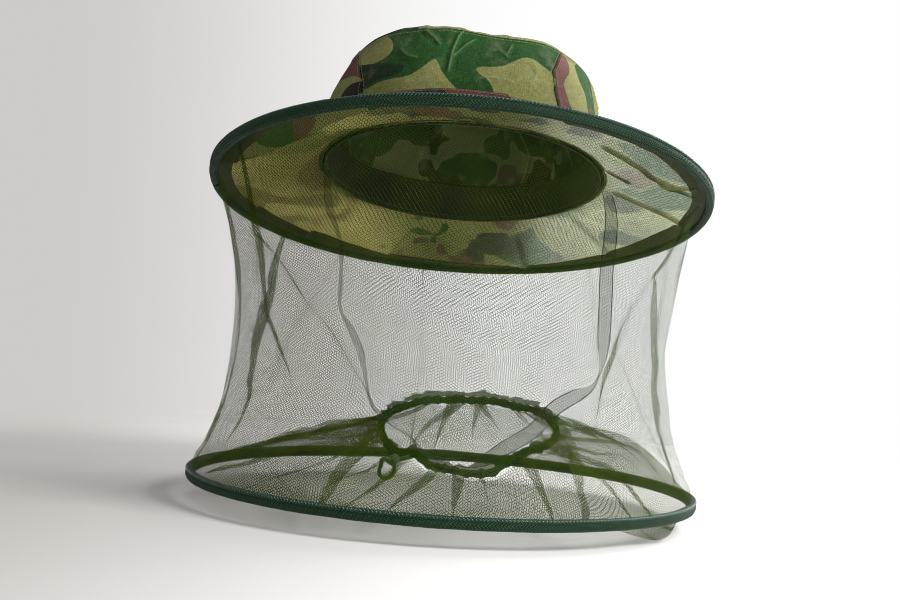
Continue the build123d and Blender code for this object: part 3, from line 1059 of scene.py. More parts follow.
def hat_band():
    """Strip round the crown foot, with its two rows of stitches."""
    arc, z = np.meshgrid(ring_arcs(420), np.linspace(-0.6, 22.0, 14), indexing="ij")
    edge = 0.9 * ease((z - 19.5) / 2.5) + 0.7 * ease((1.5 - z) / 2.5)
    points = crown(arc, z, 1.25 - edge + 0.25 * vnoise(arc / 12, z / 8, seed=51))
    attrs = camo_fields(*(np.full(arc.shape, -6.0) for _ in range(4)))
    slanted = centred(arc) + (z - 12) * 0.9
    for (start, key), (end, _) in zip(BAND_STRIPES, BAND_STRIPES[1:]):
        if key:
            depth = np.clip(np.minimum(slanted - start, end - slanted), -6, 6)
            attrs[key] = np.maximum(attrs[key], depth)
    ob = grid("hat_band_cloth", points, BAND_CAMO, wrap_uv(arc, z, FULL_ARC), wrap=True,
              attrs=attrs)
    thicken(ob, 0.8)
    piece(ob, "hat", "hat_band")
    rows = [crown_stitch_ring(f"band{z}", z, lift=1.45, tilt=0.0) for z in (20.2, 1.6)]
    piece(join(rows, "hat_band_topstitch"), "hat")


def sweatband():
    """Tape inside the head opening."""
    arc, z = np.meshgrid(ring_arcs(300), np.linspace(-1.4, 27.0, 16), indexing="ij")
    x, y = from_front(arc)
    radius = HEAD_R + 0.7 + 1.1 * fbm(x * 4, -y * 4, z / 30, seed=61, octaves=2) * ease(z / 12)
    radius = radius + 0.5 * np.sin(arc / 9) * ease((z - 18) / 9) - 0.8 * ease((z - 6) / 10)
    radius = radius - 5.2 * bump(centred(arc) - 150, 58) * ease((z + 1) / 14)
    points = hat(radius * x, radius * y, z + 0.6 * np.sin(arc / 23) * (z > 20))
    ob = grid("sweatband_twill", points, SWEATBAND, wrap_uv(arc, z, FULL_ARC), wrap=True)
    thicken(ob, 0.9, offset=1.0)
    piece(ob, "hat", "sweatband")
    x, y = from_front(ring_arcs(499))
    radius = HEAD_R + 0.1
    piece(stitches("sweatband_stitches", hat(radius * x, radius * y, 1.6), -hat_dir(x, y, 0.0),
                   DARK_THREAD, pitch=3.0, length=2.1, radius=0.22, closed=True),
          "hat")


# ------------------------------------------------------------------ brim
BRIM_INNER_R = 104.2     # where the brim starts to slope down
# fold lines and camouflage outlines are hat-local (x, y)
LEFT_FOLD = [(-173, -40), (-162, -50), (-154, -55), (-142, -60), (-129, -68), (-118, -79),
             (-110, -84), (-101, -91)]
# right-hand folds: line, depth, width
RIGHT_FOLDS = [
    ([(88, -102), (101, -90), (115, -76), (128, -61), (142, -52), (161, -53)], 3.6, 2.0),
    ([(134, -56), (144, -48), (164, -32)], 2.6, 1.8),
    ([(100, -32), (110, -30), (119, -19)], 2.4, 1.6),
    ([(108, 8), (119, 12.6), (133, 17), (150, 23.5), (167, 33)], 3.6, 2.0)]
# tucks running outwards: angle, depth, width
TUCKS = [(2.35, 3.0, 3.0), (1.9, 2.2, 2.4), (1.2, 3.0, 2.8), (0.75, 2.2, 2.6),
         (2.75, 2.4, 2.6), (-1.2, 1.5, 3.0), (-1.9, 1.3, 3.0)]
BRIM_GREEN_STRIP = [(-166, -47), (-147, -60), (-130, -65), (-111, -83), (-98, -92), (-94, -60),
                    (-99.7, -45), (-112, -39.5), (-123, -39.3), (-131, -46), (-140, -42),
                    (-150, -44)]
BRIM_BROWN_LEFT = [(-120, 14), (-116, -3), (-109, -17), (-95, -26), (-92, 10), (-96, 40),
                   (-101, 48.5), (-106, 55), (-114, 42), (-119, 28)]
BRIM_DARK_LEFT = [(-175, -6), (-162.6, 14.8), (-151, 24), (-140, 44), (-130, 49.5), (-112, 60),
                  (-95, 62), (-95, 88), (-112, 80), (-128, 73), (-140, 65), (-150, 68),
                  (-158, 82.6), (-172, 52)]
BRIM_DARK_GAP = [(-148, 64.5), (-141, 63.6), (-132, 73.7), (-121, 80.8), (-126, 84.3),
                 (-134.5, 85.2), (-142.5, 77)]
BRIM_GREEN_FRONT = [(-135, -118), (-111, -131), (-108, -100), (-114, -82), (-129, -74),
                    (-138, -84)]
BRIM_BROWN_FRONT = [(-110, -132), (-99, -138), (-98, -110), (-104, -92), (-113, -82)]
BRIM_GREEN_FRONT_RIGHT = [(98, -112), (112, -120), (128, -110), (146, -92), (157, -70),
                          (155, -62), (143, -61.7), (131.7, -63.9), (123.8, -67.3),
                          (114.5, -81.9)]
BRIM_BROWN_RIGHT = [(103.5, -31.6), (106, -42.5), (112, -58), (119, -71), (129, -63.7),
                    (137, -46), (131.7, -28), (127, -11), (118, -12)]
BRIM_GREEN_RIGHT = [(112, 4), (120, -6.6), (129, -10), (137, -43), (144, -50), (163, -30),
                    (170, -6), (156, 11), (149, 21), (138, 17.6), (126, 9)]
BRIM_DARK_RIGHT = [(112, 12), (128, 16.7), (134, 26), (128, 44), (114, 52), (106, 30)]
BRIM_DEEP_RIGHT = [(112, 86), (124, 80), (133, 83), (146, 77), (158, 60), (166, 62), (150, 90),
                   (130, 106), (108, 112)]


def brim_height(x, y):
    """Hat-local height of the brim: a cone with waves and folds, none at either sewn edge."""
    radius = np.hypot(x, y)
    angle = np.arctan2(y, x)
    slope = BRIM_DROP / (HOOP_R - BRIM_INNER_R)
    cone = -np.maximum(radius - BRIM_INNER_R, 0.0) * slope
    hold = ease((radius - 103) / 16) * ease((HOOP_R - 3.5 - radius) / 12)
    wave = 2.6 * np.sin(3 * angle + 0.6) + 3.2 * ring_fbm(angle, 2.6, radius / 70, seed=71)
    height = (wave + 0.9 * fbm(x / 16, y / 16, 0.3, seed=72, octaves=2)) * hold
    hold = ease((radius - 100) / 6) * ease((HOOP_R - 2.5 - radius) / 6)
    distance, side, _ = near_line(x, y, LEFT_FOLD)
    height = height - hold * 5.5 * np.where(side < 0, np.exp(-distance / 17),
                                            bump(distance, 3.2))
    for line, depth, width in RIGHT_FOLDS:
        distance, side, along = near_line(x, y, line)
        fade = ease(along * 9 + 0.3) * ease((1 - along) * 6 + 0.15)
        height = height - hold * fade * depth * np.where(
            side > 0, np.exp(-distance / (width * 3.2)), bump(distance, width * 0.5))
    for centre, depth, width in TUCKS:
        aside = wrap_angle(angle - centre) * radius - 0.12 * (radius - 130)
        shape = np.where(aside > 0, np.exp(-np.abs(aside) / (width * 3.5)), bump(aside, width))
        height = height - hold * depth * shape * ease((radius - 100) / 30)
    return cone + height


def brim_camo(x, y):
    free = camo_free(x + 400, y, 0 * x, seed=12)
    dark = np.minimum(inside(x, y, BRIM_DARK_LEFT, BRIM_DARK_RIGHT),
                      -inside(x, y, BRIM_DARK_GAP))
    drawn = camo_fields(
        green=inside(x, y, BRIM_GREEN_STRIP, BRIM_GREEN_FRONT, BRIM_GREEN_FRONT_RIGHT,
                     BRIM_GREEN_RIGHT, BRIM_DEEP_RIGHT),
        brown=inside(x, y, BRIM_BROWN_LEFT, BRIM_BROWN_FRONT, BRIM_BROWN_RIGHT),
        dark=dark, deep=inside(x, y, BRIM_DEEP_RIGHT))
    right = ease((x - 88) / 12) * ease((112 - y) / 20) * ease((y + 125) / 10)
    left = ease((-x - 84) / 12) * ease((95 - y) / 20) * ease((y + 138) / 10)
    return lay(free, drawn, np.maximum(right, left))


def brim_light(x, y):
    """How much light comes through: less past the left fold, which paints the shade of the front
    brim; less on the creases, for a fold's layers, with painted shade in a band beside them; and
    less near x = 0.
    """
    distance, side, _ = near_line(x, y, LEFT_FOLD)
    # painted shade: past the left fold the front brim lets little light through
    shaded = np.where(y < -38, ease((-side * distance + 1.5) / 3.0), 0)
    lit = np.where(x < 0, 0.95 - 0.83 * shaded, 0.92)
    lit = lit * (0.25 + 0.75 * ease((np.abs(x) - 20) / 60))
    for line, _, _ in RIGHT_FOLDS:
        distance, side, along = near_line(x, y, line)
        fade = ease(along * 9 + 0.3)
        # painted shade in the band beside each fold; the fold line itself lets less through for
        # its layers
        beside = 0.18 * bump(distance - 2.0, 1.2) * (side > 0)
        lit = lit * (1 - (0.92 * bump(distance, 0.9) + beside) * fade)
    return lit


def brim_cloth():
    radii = np.concatenate([np.linspace(99.6, 165, 62), np.linspace(166.2, HOOP_R - 2.6, 10)])
    angle, radius = np.meshgrid(turn(900), radii, indexing="ij")
    x, y = radius * np.cos(angle), radius * np.sin(angle)
    attrs = brim_camo(x, y)
    attrs["lit"] = brim_light(x, y)
    ob = grid("brim_cloth", hat(x, y, brim_height(x, y) - 0.1), BRIM_CAMO, wrap_uv(x, y),
              wrap=True, attrs=attrs)
    thicken(ob, 0.7)
    piece(ob, "hat", "brim_panel")


def brim_facing():
    """Tape under the brim edge, where the net is turned in."""
    radii = np.linspace(HOOP_R - 12.0, HOOP_R - 2.4, 12)
    angle, radius = np.meshgrid(turn(900), radii, indexing="ij")
    radius = radius + 1.1 * ring_noise(angle, 6, seed=81) * (radius < HOOP_R - 9)
    x, y = radius * np.cos(angle), radius * np.sin(angle)
    drop = 1.25 + 0.35 * ring_noise(angle, 14, radius / 9, seed=82)
    z = brim_height(x, y) - drop + 0.3 * ease((radius - HOOP_R + 6) / 4)
    ob = grid("brim_facing_tape", hat(x, y, z), FACING,
              wrap_uv(angle * HOOP_R, radius, CLOTH_LENGTH), wrap=True)
    thicken(ob, 0.4)
    piece(ob, "hat")


def brim_topstitch():
    rows = []
    for index, inset in enumerate((10.8, 6.0)):
        x, y = circle(HOOP_R - inset, 1199).T
        path = hat(x, y, brim_height(x, y) + 0.05)
        rows.append(stitches(f"bt{index}", path, np.broadcast_to(UP, path.shape), KHAKI_THREAD,
                             pitch=3.2, length=2.2, radius=0.2, closed=True))
    piece(join(rows, "brim_edge_topstitch"), "hat")


# ------------------------------------------------------------------ bound hoops
# section of the folded tape round the wire: (outward, upward)
TAPE_SECTION = [(0.2, -4.2), (1.4, -4.1), (2.4, -3.5), (3.0, -2.4), (3.3, -1.0), (3.25, 0.3),
                (2.9, 1.0), (2.3, 1.35), (2.1, 1.7), (2.2, 2.1), (2.2, 3.0), (1.7, 3.7),
                (0.9, 3.9), (0.0, 3.7), (-1.2, 3.2), (-2.1, 2.3), (-2.6, 1.1), (-2.7, 0.0),
                (-2.6, -1.3), (-2.1, -2.8), (-1.1, -3.8)]
# stitch rows: place (outward, upward), facing (outward, upward), thread, pitch, length,
# radius, skew
HOOP_STITCHES = [((2.62, 1.32), (0.9, 0.35), DARK_THREAD, 2.6, 1.7, 0.24, 0.25),
                 ((3.15, 3.1), (0.9, 0.6), PALE_HIGHLIGHT_THREAD, 2.6, 1.3, 0.17, 0.85),
                 ((2.35, -3.45), (0.75, -0.75), DARK_THREAD, 2.9, 1.9, 0.2, 0.0),
                 ((-1.95, -3.1), (-0.7, -0.8), DARK_THREAD, 2.9, 1.9, 0.2, 0.0)]


def bound_hoop(tag, ring, node, body, seam_at, gap=0.0):
    """Tape folded round a hoop, its corded lip and its stitches; open at the seam by gap."""
    closed = gap == 0

    def hoop_angles(count):
        share = np.arange(count) / (count if closed else count - 1)
        return seam_at + gap + share * (FULL_TURN - 2 * gap)

    def wobble(angle):
        return 0.22 * ring_fbm(angle, 9, seed=95)[:, None]

    angle = hoop_angles(1800)
    centre, out, up = ring_frame(ring, angle)
    sway = wobble(angle)
    path = centre + out * (HOOP_R + sway * 0.6) + up * sway * 0.5
    section = curve(TAPE_SECTION, 34, closed=True)
    sections = section * (1 + 0.03 * ring_noise(angle, 30, seed=95)[:, None, None])
    # twill ribs run slantwise down the outer face of the tape
    slant = angle[:, None] * HOOP_R / 2.3 * FULL_TURN + section[:, 1] * 1.9
    sections[..., 0] += 0.10 * np.cos(slant) * (section[:, 0] > 0.3)
    piece(tube(f"{tag}_binding_tape", path, out, up, sections, BINDING, wrap=closed),
          body, node)

    # corded lip along the top of the tape, over-sewn slantwise
    lip_angle = hoop_angles(2300)
    _, lip_out, lip_up = ring_frame(ring, lip_angle)
    sway = wobble(lip_angle)
    lip_path = centre + lip_out * (HOOP_R + sway * 0.6 + 2.25) + lip_up * (sway * 0.5 + 2.55)
    oversew = lip_angle[:, None] * HOOP_R / 2.6 * math.pi + turn(10) * 0.5
    lip_section = circle(1.12 + 0.20 * np.abs(np.sin(oversew)) ** 0.8, 10)
    piece(tube(f"{tag}_binding_lip", lip_path, lip_out, lip_up, lip_section, WELT, wrap=closed),
          body)

    rows = []
    for index, (place, facing, mat, pitch, length, radius, skew) in enumerate(HOOP_STITCHES):
        rows.append(stitches(f"{tag}{index}", path + out * place[0] + up * place[1],
                             out * facing[0] + up * facing[1], mat, pitch, length, radius,
                             lift=0.15, closed=closed, skew=skew))
    piece(join(rows, f"{tag}_binding_stitches"), body)
    if closed:
        binding_lap(tag, ring, body, seam_at, section)


def binding_lap(tag, ring, body, seam_at, section):
    """Short second layer where the ends of the tape overlap."""
    count = 60
    centre, out, up = ring_frame(ring, seam_at + np.linspace(-0.05, 0.05, count))
    grow = 1.10 + 0.012 * np.sin(np.arange(count) * 1.3)
    sections = section * grow[:, None, None]
    sections[..., 0] += 0.6 * (sections[..., 1] > 1.2) * (sections[..., 0] > 0)
    piece(tube(f"{tag}_binding_lap", centre + out * HOOP_R, out, up, sections, BINDING,
               wrap=False), body)


def ferrule(tag, ring, seam_at, body):
    """Crimped sleeve, with three dents, on a hoop wire."""
    half_length = 12
    along = np.linspace(-half_length, half_length, 60)
    centre, out, up = ring_frame(ring, seam_at + along / HOOP_R)
    dents = bump(along - 6.5, 1.6) + bump(along + 6.5, 1.6) + bump(along, 1.6)
    radius = 1.95 - 0.28 * dents - 0.35 * (np.abs(along) > 11.4)
    sections = circle(radius[:, None], 24) * (1, 0.97)
    piece(tube(f"{tag}_ferrule_sleeve", centre + out * HOOP_R, out, up, sections, ALUMINIUM,
               wrap=False), body, f"{tag}_ferrule")


def steel_hoops():
    for name in ("brim_hoop", "veil_hoop"):
        wire = frame["nodes"][name]
        for slot in wire.material_slots:
            slot.material = STEEL
        if not wire.material_slots:
            wire.data.materials.append(STEEL)


# ------------------------------------------------------------------ cloth settling
def settle(ob, pin, bend, stretch, gravity, frames=10, reach=0.006):
    """Lets a net sag with the cloth solver, moving no point further than reach (metres).

    Points where pin is 1 are held.
    """
    before = coords(ob).astype(float)
    group = ob.vertex_groups.new(name="pin")
    levels = np.round(np.ravel(pin), 2)
    for level in np.unique(levels):
        if level > 0:
            group.add([int(i) for i in np.nonzero(levels == level)[0]], float(level), "REPLACE")
    cloth = ob.modifiers.new("cloth", "CLOTH")
    settings = cloth.settings
    settings.quality = 3
    settings.mass = 0.02
    settings.air_damping = 3.0
    settings.tension_stiffness = settings.compression_stiffness = stretch
    settings.shear_stiffness = 4.0
    settings.bending_stiffness = bend
    settings.tension_damping = settings.compression_damping = 12
    settings.vertex_group_mass = "pin"
    settings.pin_stiffness = 1.0
    settings.effector_weights.gravity = gravity
    cloth.collision_settings.use_collision = False
    cloth.collision_settings.use_self_collision = False
    cloth.point_cache.frame_start = 1
    cloth.point_cache.frame_end = frames
    scene = bpy.context.scene
    for number in range(1, frames + 1):
        scene.frame_set(number)
    apply_mods(ob)
    scene.frame_set(1)
    move = coords(ob).astype(float) - before
    keep = np.minimum(1.0, reach / np.maximum(np.linalg.norm(move, axis=1), 1e-9))
    settled = (before + move * keep[:, None]).astype(np.float32)
    ob.data.vertices.foreach_set("co", settled.ravel())
    ob.data.update()


# ------------------------------------------------------------------ veil net
# pleats: line of (degrees from +X towards the back, height share),
# (height share, half the cloth taken up) along it, lean
PLEATS = [
    ([(-151, 1.02), (-150, .85), (-149.9, .76), (-148.9, .685), (-148.5, .61), (-145.4, .513),
      (-141, .456), (-135.5, .382), (-131, .317), (-126, .2), (-124, 0)],
     [(0, 0), (.22, 0), (.31, 1.5), (.4, 6), (.5, 13), (.6, 20), (.7, 22), (.85, 16),
      (.97, 9), (1, 6)], 1),
    ([(-154, 1.02), (-151.5, .8), (-137.5, .63), (-127.7, .523), (-120.1, .453),
      (-113.1, .357), (-107.4, .272), (-103, .15), (-101, 0)],
     [(0, 0), (.2, 0), (.3, 2.2), (.45, 3.4), (.65, 4.0), (.74, 2.5), (.82, 0), (1, 0)], -1),
    ([(141, 1.02), (150.5, .81), (155.5, .69), (161.5, .585), (166, .465), (163.5, .315),
      (161, .24), (160, 0)],
     [(0, 0), (.1, 1.5), (.24, 4), (.34, 10), (.46, 19), (.58, 22), (.69, 18), (.81, 11),
      (1, 4)], 1),
    ([(122, 1.02), (127.5, .87), (137, .695), (146, .505), (149, .42), (157, .295), (158, 0)],
     [(0, 0), (.28, 0), (.36, 3.0), (.5, 4.5), (.75, 4.5), (.9, 2.5), (1, 1.5)], -1),
    ([(-6, 1.02), (-20.5, .82), (-35.2, .667), (-41.9, .568), (-45.3, .472), (-51.3, .317),
      (-54, .2), (-55, 0)],
     [(0, 0), (.2, 0), (.3, 4), (.4, 9), (.52, 9), (.6, 7), (.68, 8), (.75, 14), (.85, 17),
      (.95, 9), (1, 5)], -1),
    ([(-30, 1.02), (-30, .72), (-29, .646), (-25, .563), (-18.6, .459), (-20.8, .36),
      (-21.8, .275), (-22.2, .245), (-20, .08), (-20, 0)],
     [(0, 0), (.12, 0), (.2, 4), (.3, 12), (.42, 20), (.52, 20), (.6, 13), (.68, 4), (.72, 0),
      (1, 0)], 1),
    ([(-56, 1.02), (-54, .62), (-50.7, .512), (-44.5, .449), (-34.1, .30), (-24, .16),
      (-18, .04), (-17, 0)],
     [(0, 0), (.08, 2), (.18, 3.6), (.3, 3.0), (.45, 2.2), (.58, 1.4), (.66, 0), (1, 0)], -1),
    ([(14, 1.02), (10, .7), (6, .4), (8, 0)],
     [(0, 1.2), (.15, 3), (.45, 6), (.75, 6), (1, 2)], 1),
    ([(52, 1.02), (42, .6), (38, .3), (36, 0)],
     [(0, 0), (.3, 0), (.5, 2.4), (.8, 4), (1, 1.5)], 1),
    ([(99, 1.02), (99, 0)], [(0, 1.8), (1, 1.8)], 1),
    ([(186, 1.02), (190, .75), (186, .5), (184, .3), (187, .15), (192, 0)],
     [(0, 2), (.08, 6), (.2, 9), (.32, 7), (.5, 5), (.75, 5), (1, 2)], -1)]
# radius as a share of the hoop's: height shares, then radius shares
WAIST_AT = [0, .05, .1, .17, .25, .38, .5, .60, .7, .81, .9, .95, 1.0]
WAIST = [1.0, .985, .965, .935, .905, .875, .866, .868, .88, .91, .945, .968, 0.99]
VEIL_START = math.radians(94)
VEIL_ROWS = np.linspace(0, 1, 84)
VEIL_SPLIT = int(round(0.27 * (len(VEIL_ROWS) - 1)))    # row shared by the two halves


def pleat_rows():
    """(centre of each pleat on the flat cloth, its half take-up, length left), per row."""
    angles, widths = [], []
    for line, stations, _ in PLEATS:
        upward = np.array(sorted(line, key=lambda point: point[1]), float)
        fine = curve(upward[:, ::-1], 120)
        angles.append(np.interp(VEIL_ROWS, fine[:, 0], fine[:, 1]))
        widths.append(np.interp(VEIL_ROWS, *zip(*stations)))
    widths = np.array(widths)
    span = CLOTH_LENGTH - (2 * widths).sum(0)
    spots = (np.radians(angles) - VEIL_START) % FULL_TURN / FULL_TURN * span
    centres = spots + widths
    for i in range(len(PLEATS)):
        for j in range(len(PLEATS)):
            if i != j:
                centres[i] += 2 * widths[j] * ramp((spots[i] - spots[j]) / 14, 0.3)
    return centres, widths, span


def veil_shape():
    """(points, flat cloth position, height share, density) of the veil sheet."""
    centres, widths, span = pleat_rows()
    count = 1180
    flat, share = np.meshgrid(np.arange(count) / count * CLOTH_LENGTH, VEIL_ROWS, indexing="ij")
    relief, shift, dense = np.zeros((3,) + flat.shape)
    for centre, width, (_, _, lean) in zip(centres, widths, PLEATS):
        scale = np.maximum(1.04 * width, 1.5)
        offset = (flat - centre) / scale
        shift += 2 * width * ramp(offset)
        lap = CLOTH_LENGTH / scale
        offset = np.where(offset > lap / 2, offset - lap, offset)
        on = np.clip(width / 2.0, 0, 1)
        relief -= lean * on * np.tanh(3.0 * offset) * bump(offset, 2.2)
        relief -= on * (1.2 + 0.22 * width) * bump(offset * scale, 9 + width)
        dense = np.maximum(dense, on * ease((1.25 - np.abs(offset)) / 0.35))
    angle = VEIL_START + (flat - shift) / span * FULL_TURN
    # pushed in near the top on the right-hand side
    relief -= 9.0 * bump(share - 0.93, 0.07) * bump(np.degrees(wrap_angle(angle)) - 2, 34)
    middle = np.sin(np.pi * share.clip(0, 1)) ** 0.7
    relief += middle * (3.4 * ring_fbm(angle, 2.4, share * 1.6, seed=101)
                        + 1.1 * ring_fbm(angle, 9, share * 5, seed=102, octaves=2))
    edges = bump(share - 1.0, 0.07) * 0.5 + bump(share, 0.07) * 0.8
    relief += np.sin(angle * 46 + 3 * np.sin(angle * 5)) * edges
    # rows tilt from the lower hoop's plane to the brim's
    foot, head = LOWER_CENTRE + Z_DIR * 2.2, BRIM_CENTRE - UP * 2.2
    tilt = TILT * share
    back = np.stack([0 * tilt, np.cos(tilt), -np.sin(tilt)], -1)
    radius = HOOP_R * np.interp(VEIL_ROWS, WAIST_AT, WAIST) + relief
    points = foot + (head - foot) * share[..., None] + radius[..., None] * spoke(angle, back)
    # the ramp thickens strands towards the left (-X): painted shade on the left side; the pleat
    # part stands for a pleat's extra layers
    dense = dense - 0.25 + 1.4 * ease((90 - points[..., 0]) / 230)
    return points, flat, share, dense


def veil_net():
    """Net between the hoops, let go to hang in its folds, then split in two.

    The upper half takes the rows from the split up and the lower half the rows up to it; both
    have the split row.
    """
    points, flat, share, dense = veil_shape()
    uv = wrap_uv(flat, share * np.linalg.norm(BRIM_CENTRE - LOWER_CENTRE), CLOTH_LENGTH)
    net = grid("veil_net", points, VEIL_NET, uv, wrap=True, attrs={"keep_s": share})
    pin = np.maximum(ease((share - 0.965) / 0.02), ease((0.03 - share) / 0.02))
    settle(net, pin, bend=0.6, stretch=20.0, gravity=0.6)
    points = coords(net).astype(float).reshape(points.shape) * 1000
    halves = []
    for name, rows in (("veil_net_lower", slice(0, VEIL_SPLIT + 1)),
                       ("veil_net_upper", slice(VEIL_SPLIT, None))):
        halves.append(grid(name, points[:, rows], VEIL_NET, uv[:, rows], wrap=True,
                           attrs={"dense": dense[:, rows]}))
    lower, upper = halves
    bpy.data.objects.remove(net)
    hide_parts("veil_net")
    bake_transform(upper)
    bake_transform(lower)


# ------------------------------------------------------------------ collar
# height of the neck hem: (degrees from +X towards the back, mm)
HEM_WAVE = [(-180, 4), (-165, 2.5), (-148, -1), (-135, 0), (-125, 3.8), (-116, 0),
            (-103, -1.8), (-84, -3.0), (-73, -1.5), (-66, 4), (-57, 9), (-46, 10.5),
            (-36, 9.5), (0, 9), (28, 9), (60, 6), (90, 4), (149, 5), (180, 4)]
# placed folds: (degrees, slant in degrees, weight)
PLACED_FOLDS = [(-127, -30, 3.0), (-47, 28, 3.2), (-162, 8, 2.0), (-145, -8, 1.4),
                (-178, 12, 2.0), (165, 16, 2.2), (150, 12, 1.8), (-88, 0, 1.5), (-8, 6, 2.0),
                (24, -5, 2.0)]
# how high the collar puffs up: (degrees, mm)
COLLAR_PUFF = [(-180, 8), (-150, 6), (-120, 4), (-90, 4), (-60, 8), (-30, 16), (-5, 23),
               (15, 22), (40, 15), (90, 11), (140, 10), (180, 8)]
FOLD_COUNT = 34
COLLAR_START = 97        # degrees
COLLAR_NECK_R = NECK_R + 3.6
COLLAR_UV_LENGTH = 124.0


def hem_wave(angle):
    wave = np.interp(np.degrees(wrap_angle(angle)), *zip(*HEM_WAVE))
    return (wave + 0.6 * ring_fbm(angle, 2, 0.1, seed=121, octaves=2)
            + 1.5 * ring_fbm(angle, 5, 0.1, seed=123, octaves=2))


def collar_folds():
    """(place on the cloth, weight, slant, lean, lateness) of every fold."""
    spread = 0.5 + 0.55 * (rng.rand(FOLD_COUNT) - 0.5)
    place = (np.arange(FOLD_COUNT) + spread) / FOLD_COUNT * CLOTH_LENGTH
    weight = 0.55 + rng.rand(FOLD_COUNT) * 0.9
    slant = np.zeros(FOLD_COUNT)
    placed = []
    for degrees, lean_over, heavy in PLACED_FOLDS:
        spot = ((degrees - COLLAR_START) % 360) / 360 * CLOTH_LENGTH
        distance = np.abs(place - spot)
        distance[placed] = 1e9
        nearest = int(np.argmin(distance))
        placed.append(nearest)
        place[nearest], weight[nearest] = spot, heavy
        slant[nearest] = lean_over / 360 * CLOTH_LENGTH * 0.8
    for i in range(FOLD_COUNT):     # free folds close to a placed one are thinned
        if i not in placed and np.abs(place[i] - place[placed]).min() < 34:
            weight[i] *= 0.25
    lean = np.where(rng.rand(FOLD_COUNT) > 0.4, 1.0, -1.0)
    late = 0.02 + 0.36 * rng.rand(FOLD_COUNT)
    late[placed] = 0.0
    return place, weight, slant, lean, late


def collar_net():
    """Net gathered from the lower hoop in to the neck."""
    inward = np.linspace(0, 1, 58) ** 0.92
    count = 1420
    flat, share = np.meshgrid(np.arange(count) / count * CLOTH_LENGTH, inward, indexing="ij")
    ring_r = HOOP_R * (1 - inward) + COLLAR_NECK_R * inward
    place, weight, slant, lean, late = collar_folds()
    started = 0.15 + 0.85 * ease((inward[None] - late[:, None] + 0.35) / 0.45)
    part = weight[:, None] * started
    widths = part / part.sum(0) * CLOTH_LENGTH * (1 - ring_r / HOOP_R) / 2
    shift, relief, crest = np.zeros((3,) + flat.shape)
    for i, width in enumerate(widths):
        scale = np.maximum(1.05 * width, 1.2)
        wander = 6.0 * math.sin(i * 2.4) * (0.5 - inward) + slant[i] * (inward - 0.5)
        offset = flat - place[i] - wander
        shift += 2 * width * ramp(offset / scale)
        aside = (offset + CLOTH_LENGTH / 2) % CLOTH_LENGTH - CLOTH_LENGTH / 2
        offset = aside / scale
        on = np.clip(width / 2.5, 0, 1)
        relief -= lean[i] * on * 2.645 * offset * bump(offset, 1.0)
        crest += on * (0.8 + 0.34 * width) * bump(aside, 4 + 0.8 * width)
    relief += crest - crest.mean(0)
    angle = (flat - shift) / ring_r
    angle = angle - angle[:1] + math.radians(COLLAR_START)
    degrees = np.degrees(wrap_angle(angle))
    out = spoke(angle, Y_DIR)
    at_hoop = LOWER_CENTRE + (HOOP_R - 2.2) * out - Z_DIR * 0.8
    at_neck = (NECK_CENTRE + COLLAR_NECK_R * spoke(angle, NECK_BACK)
               + NECK_UP * (hem_wave(angle) - 0.5)[..., None])
    base = at_hoop * (1 - share[..., None]) + at_neck * share[..., None]
    # the front right hangs low by the hoop instead of puffing up
    low_side = bump(degrees + 35, 20)
    pouch = low_side * np.sin(np.pi * np.clip(share / 0.34, 0, 1))
    lift = (np.interp(degrees, *zip(*COLLAR_PUFF)) * np.sin(np.pi * share ** 0.72) ** 0.9
            * (1 - low_side * (1 - ease((share - 0.12) / 0.4))))
    sag = (17 * pouch
           + 3.5 * bump(degrees + 100, 25) * np.sin(np.pi * np.clip(share / 0.2, 0, 1)))
    wave = (6.0 * ring_fbm(angle, 2.6, share * 1.1, seed=113)
            + 0.6 * ring_fbm(angle, 11, share * 1.2, seed=114, octaves=2))
    wave *= np.sin(np.pi * share).clip(0) ** 0.8
    height = lift - sag + relief * ease(share / 0.10) * (0.9 + 0.5 * share) + wave
    points = base + Z_DIR * height[..., None] + out * (13 * pouch)[..., None]
    # dense thickens the strands towards the left (-X): painted shade on the left side
    ob = grid("collar_net_gathered", points, COLLAR_NET,
              wrap_uv(flat, -share * COLLAR_UV_LENGTH, CLOTH_LENGTH), wrap=True,
              attrs={"dense": 0.35 * ease((110 - points[..., 0]) / 160)})
    pin = np.maximum(ease((share - 0.93) / 0.04), ease((0.03 - share) / 0.03))
    settle(ob, pin, bend=0.8, stretch=18.0, gravity=0.5)
    piece(ob, node="collar_net")
    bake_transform(ob)


# ------------------------------------------------------------------ neck casing and elastic
KNOT_PLACE = np.array([-37.5, -63.0, -208.0])
# the knotted cord, relative to the knot: into the loop, out of it, and the turns over it
KNOT_LEAD = [(15, 0.5, 9.6), (8, -1, 7.6)]
KNOT_TAIL = [(-4, -1.5, 6.6), (-1, -5.0, 7.8), (4, -4.0, 5.0), (6.0, -2.4, 7.4),
             (3.0, -1.8, 9.6)]
KNOT_TURNS = [(0, -2, 5.5), (3, -5.5, 7), (6, -3, 9.5), (3.5, 0.5, 8.5), (1, -1.5, 5.2),
              (4, -4.8, 5.8), (7, -2, 8), (4, -0.5, 10.4)]


def neck_line(angle):
    """(centres, outward directions, up directions) of the hem and its elastic."""
    centre, out, up = ring_frame(NECK_RING, angle)
    return centre + out * (NECK_R + 2.2) + up * hem_wave(angle)[:, None], out, up


def gathers(angle):
    """(main, fine) ridges of the gathered cloth, unevenly spaced."""
    uneven = (angle + 0.05 * ring_noise(angle, 3, 0.3, seed=111)
              + 0.03 * ring_noise(angle, 9, 0.3, seed=112))
    return ridged(uneven * 50 + 1.3 * np.sin(uneven * 7)), ridged(uneven * 96)


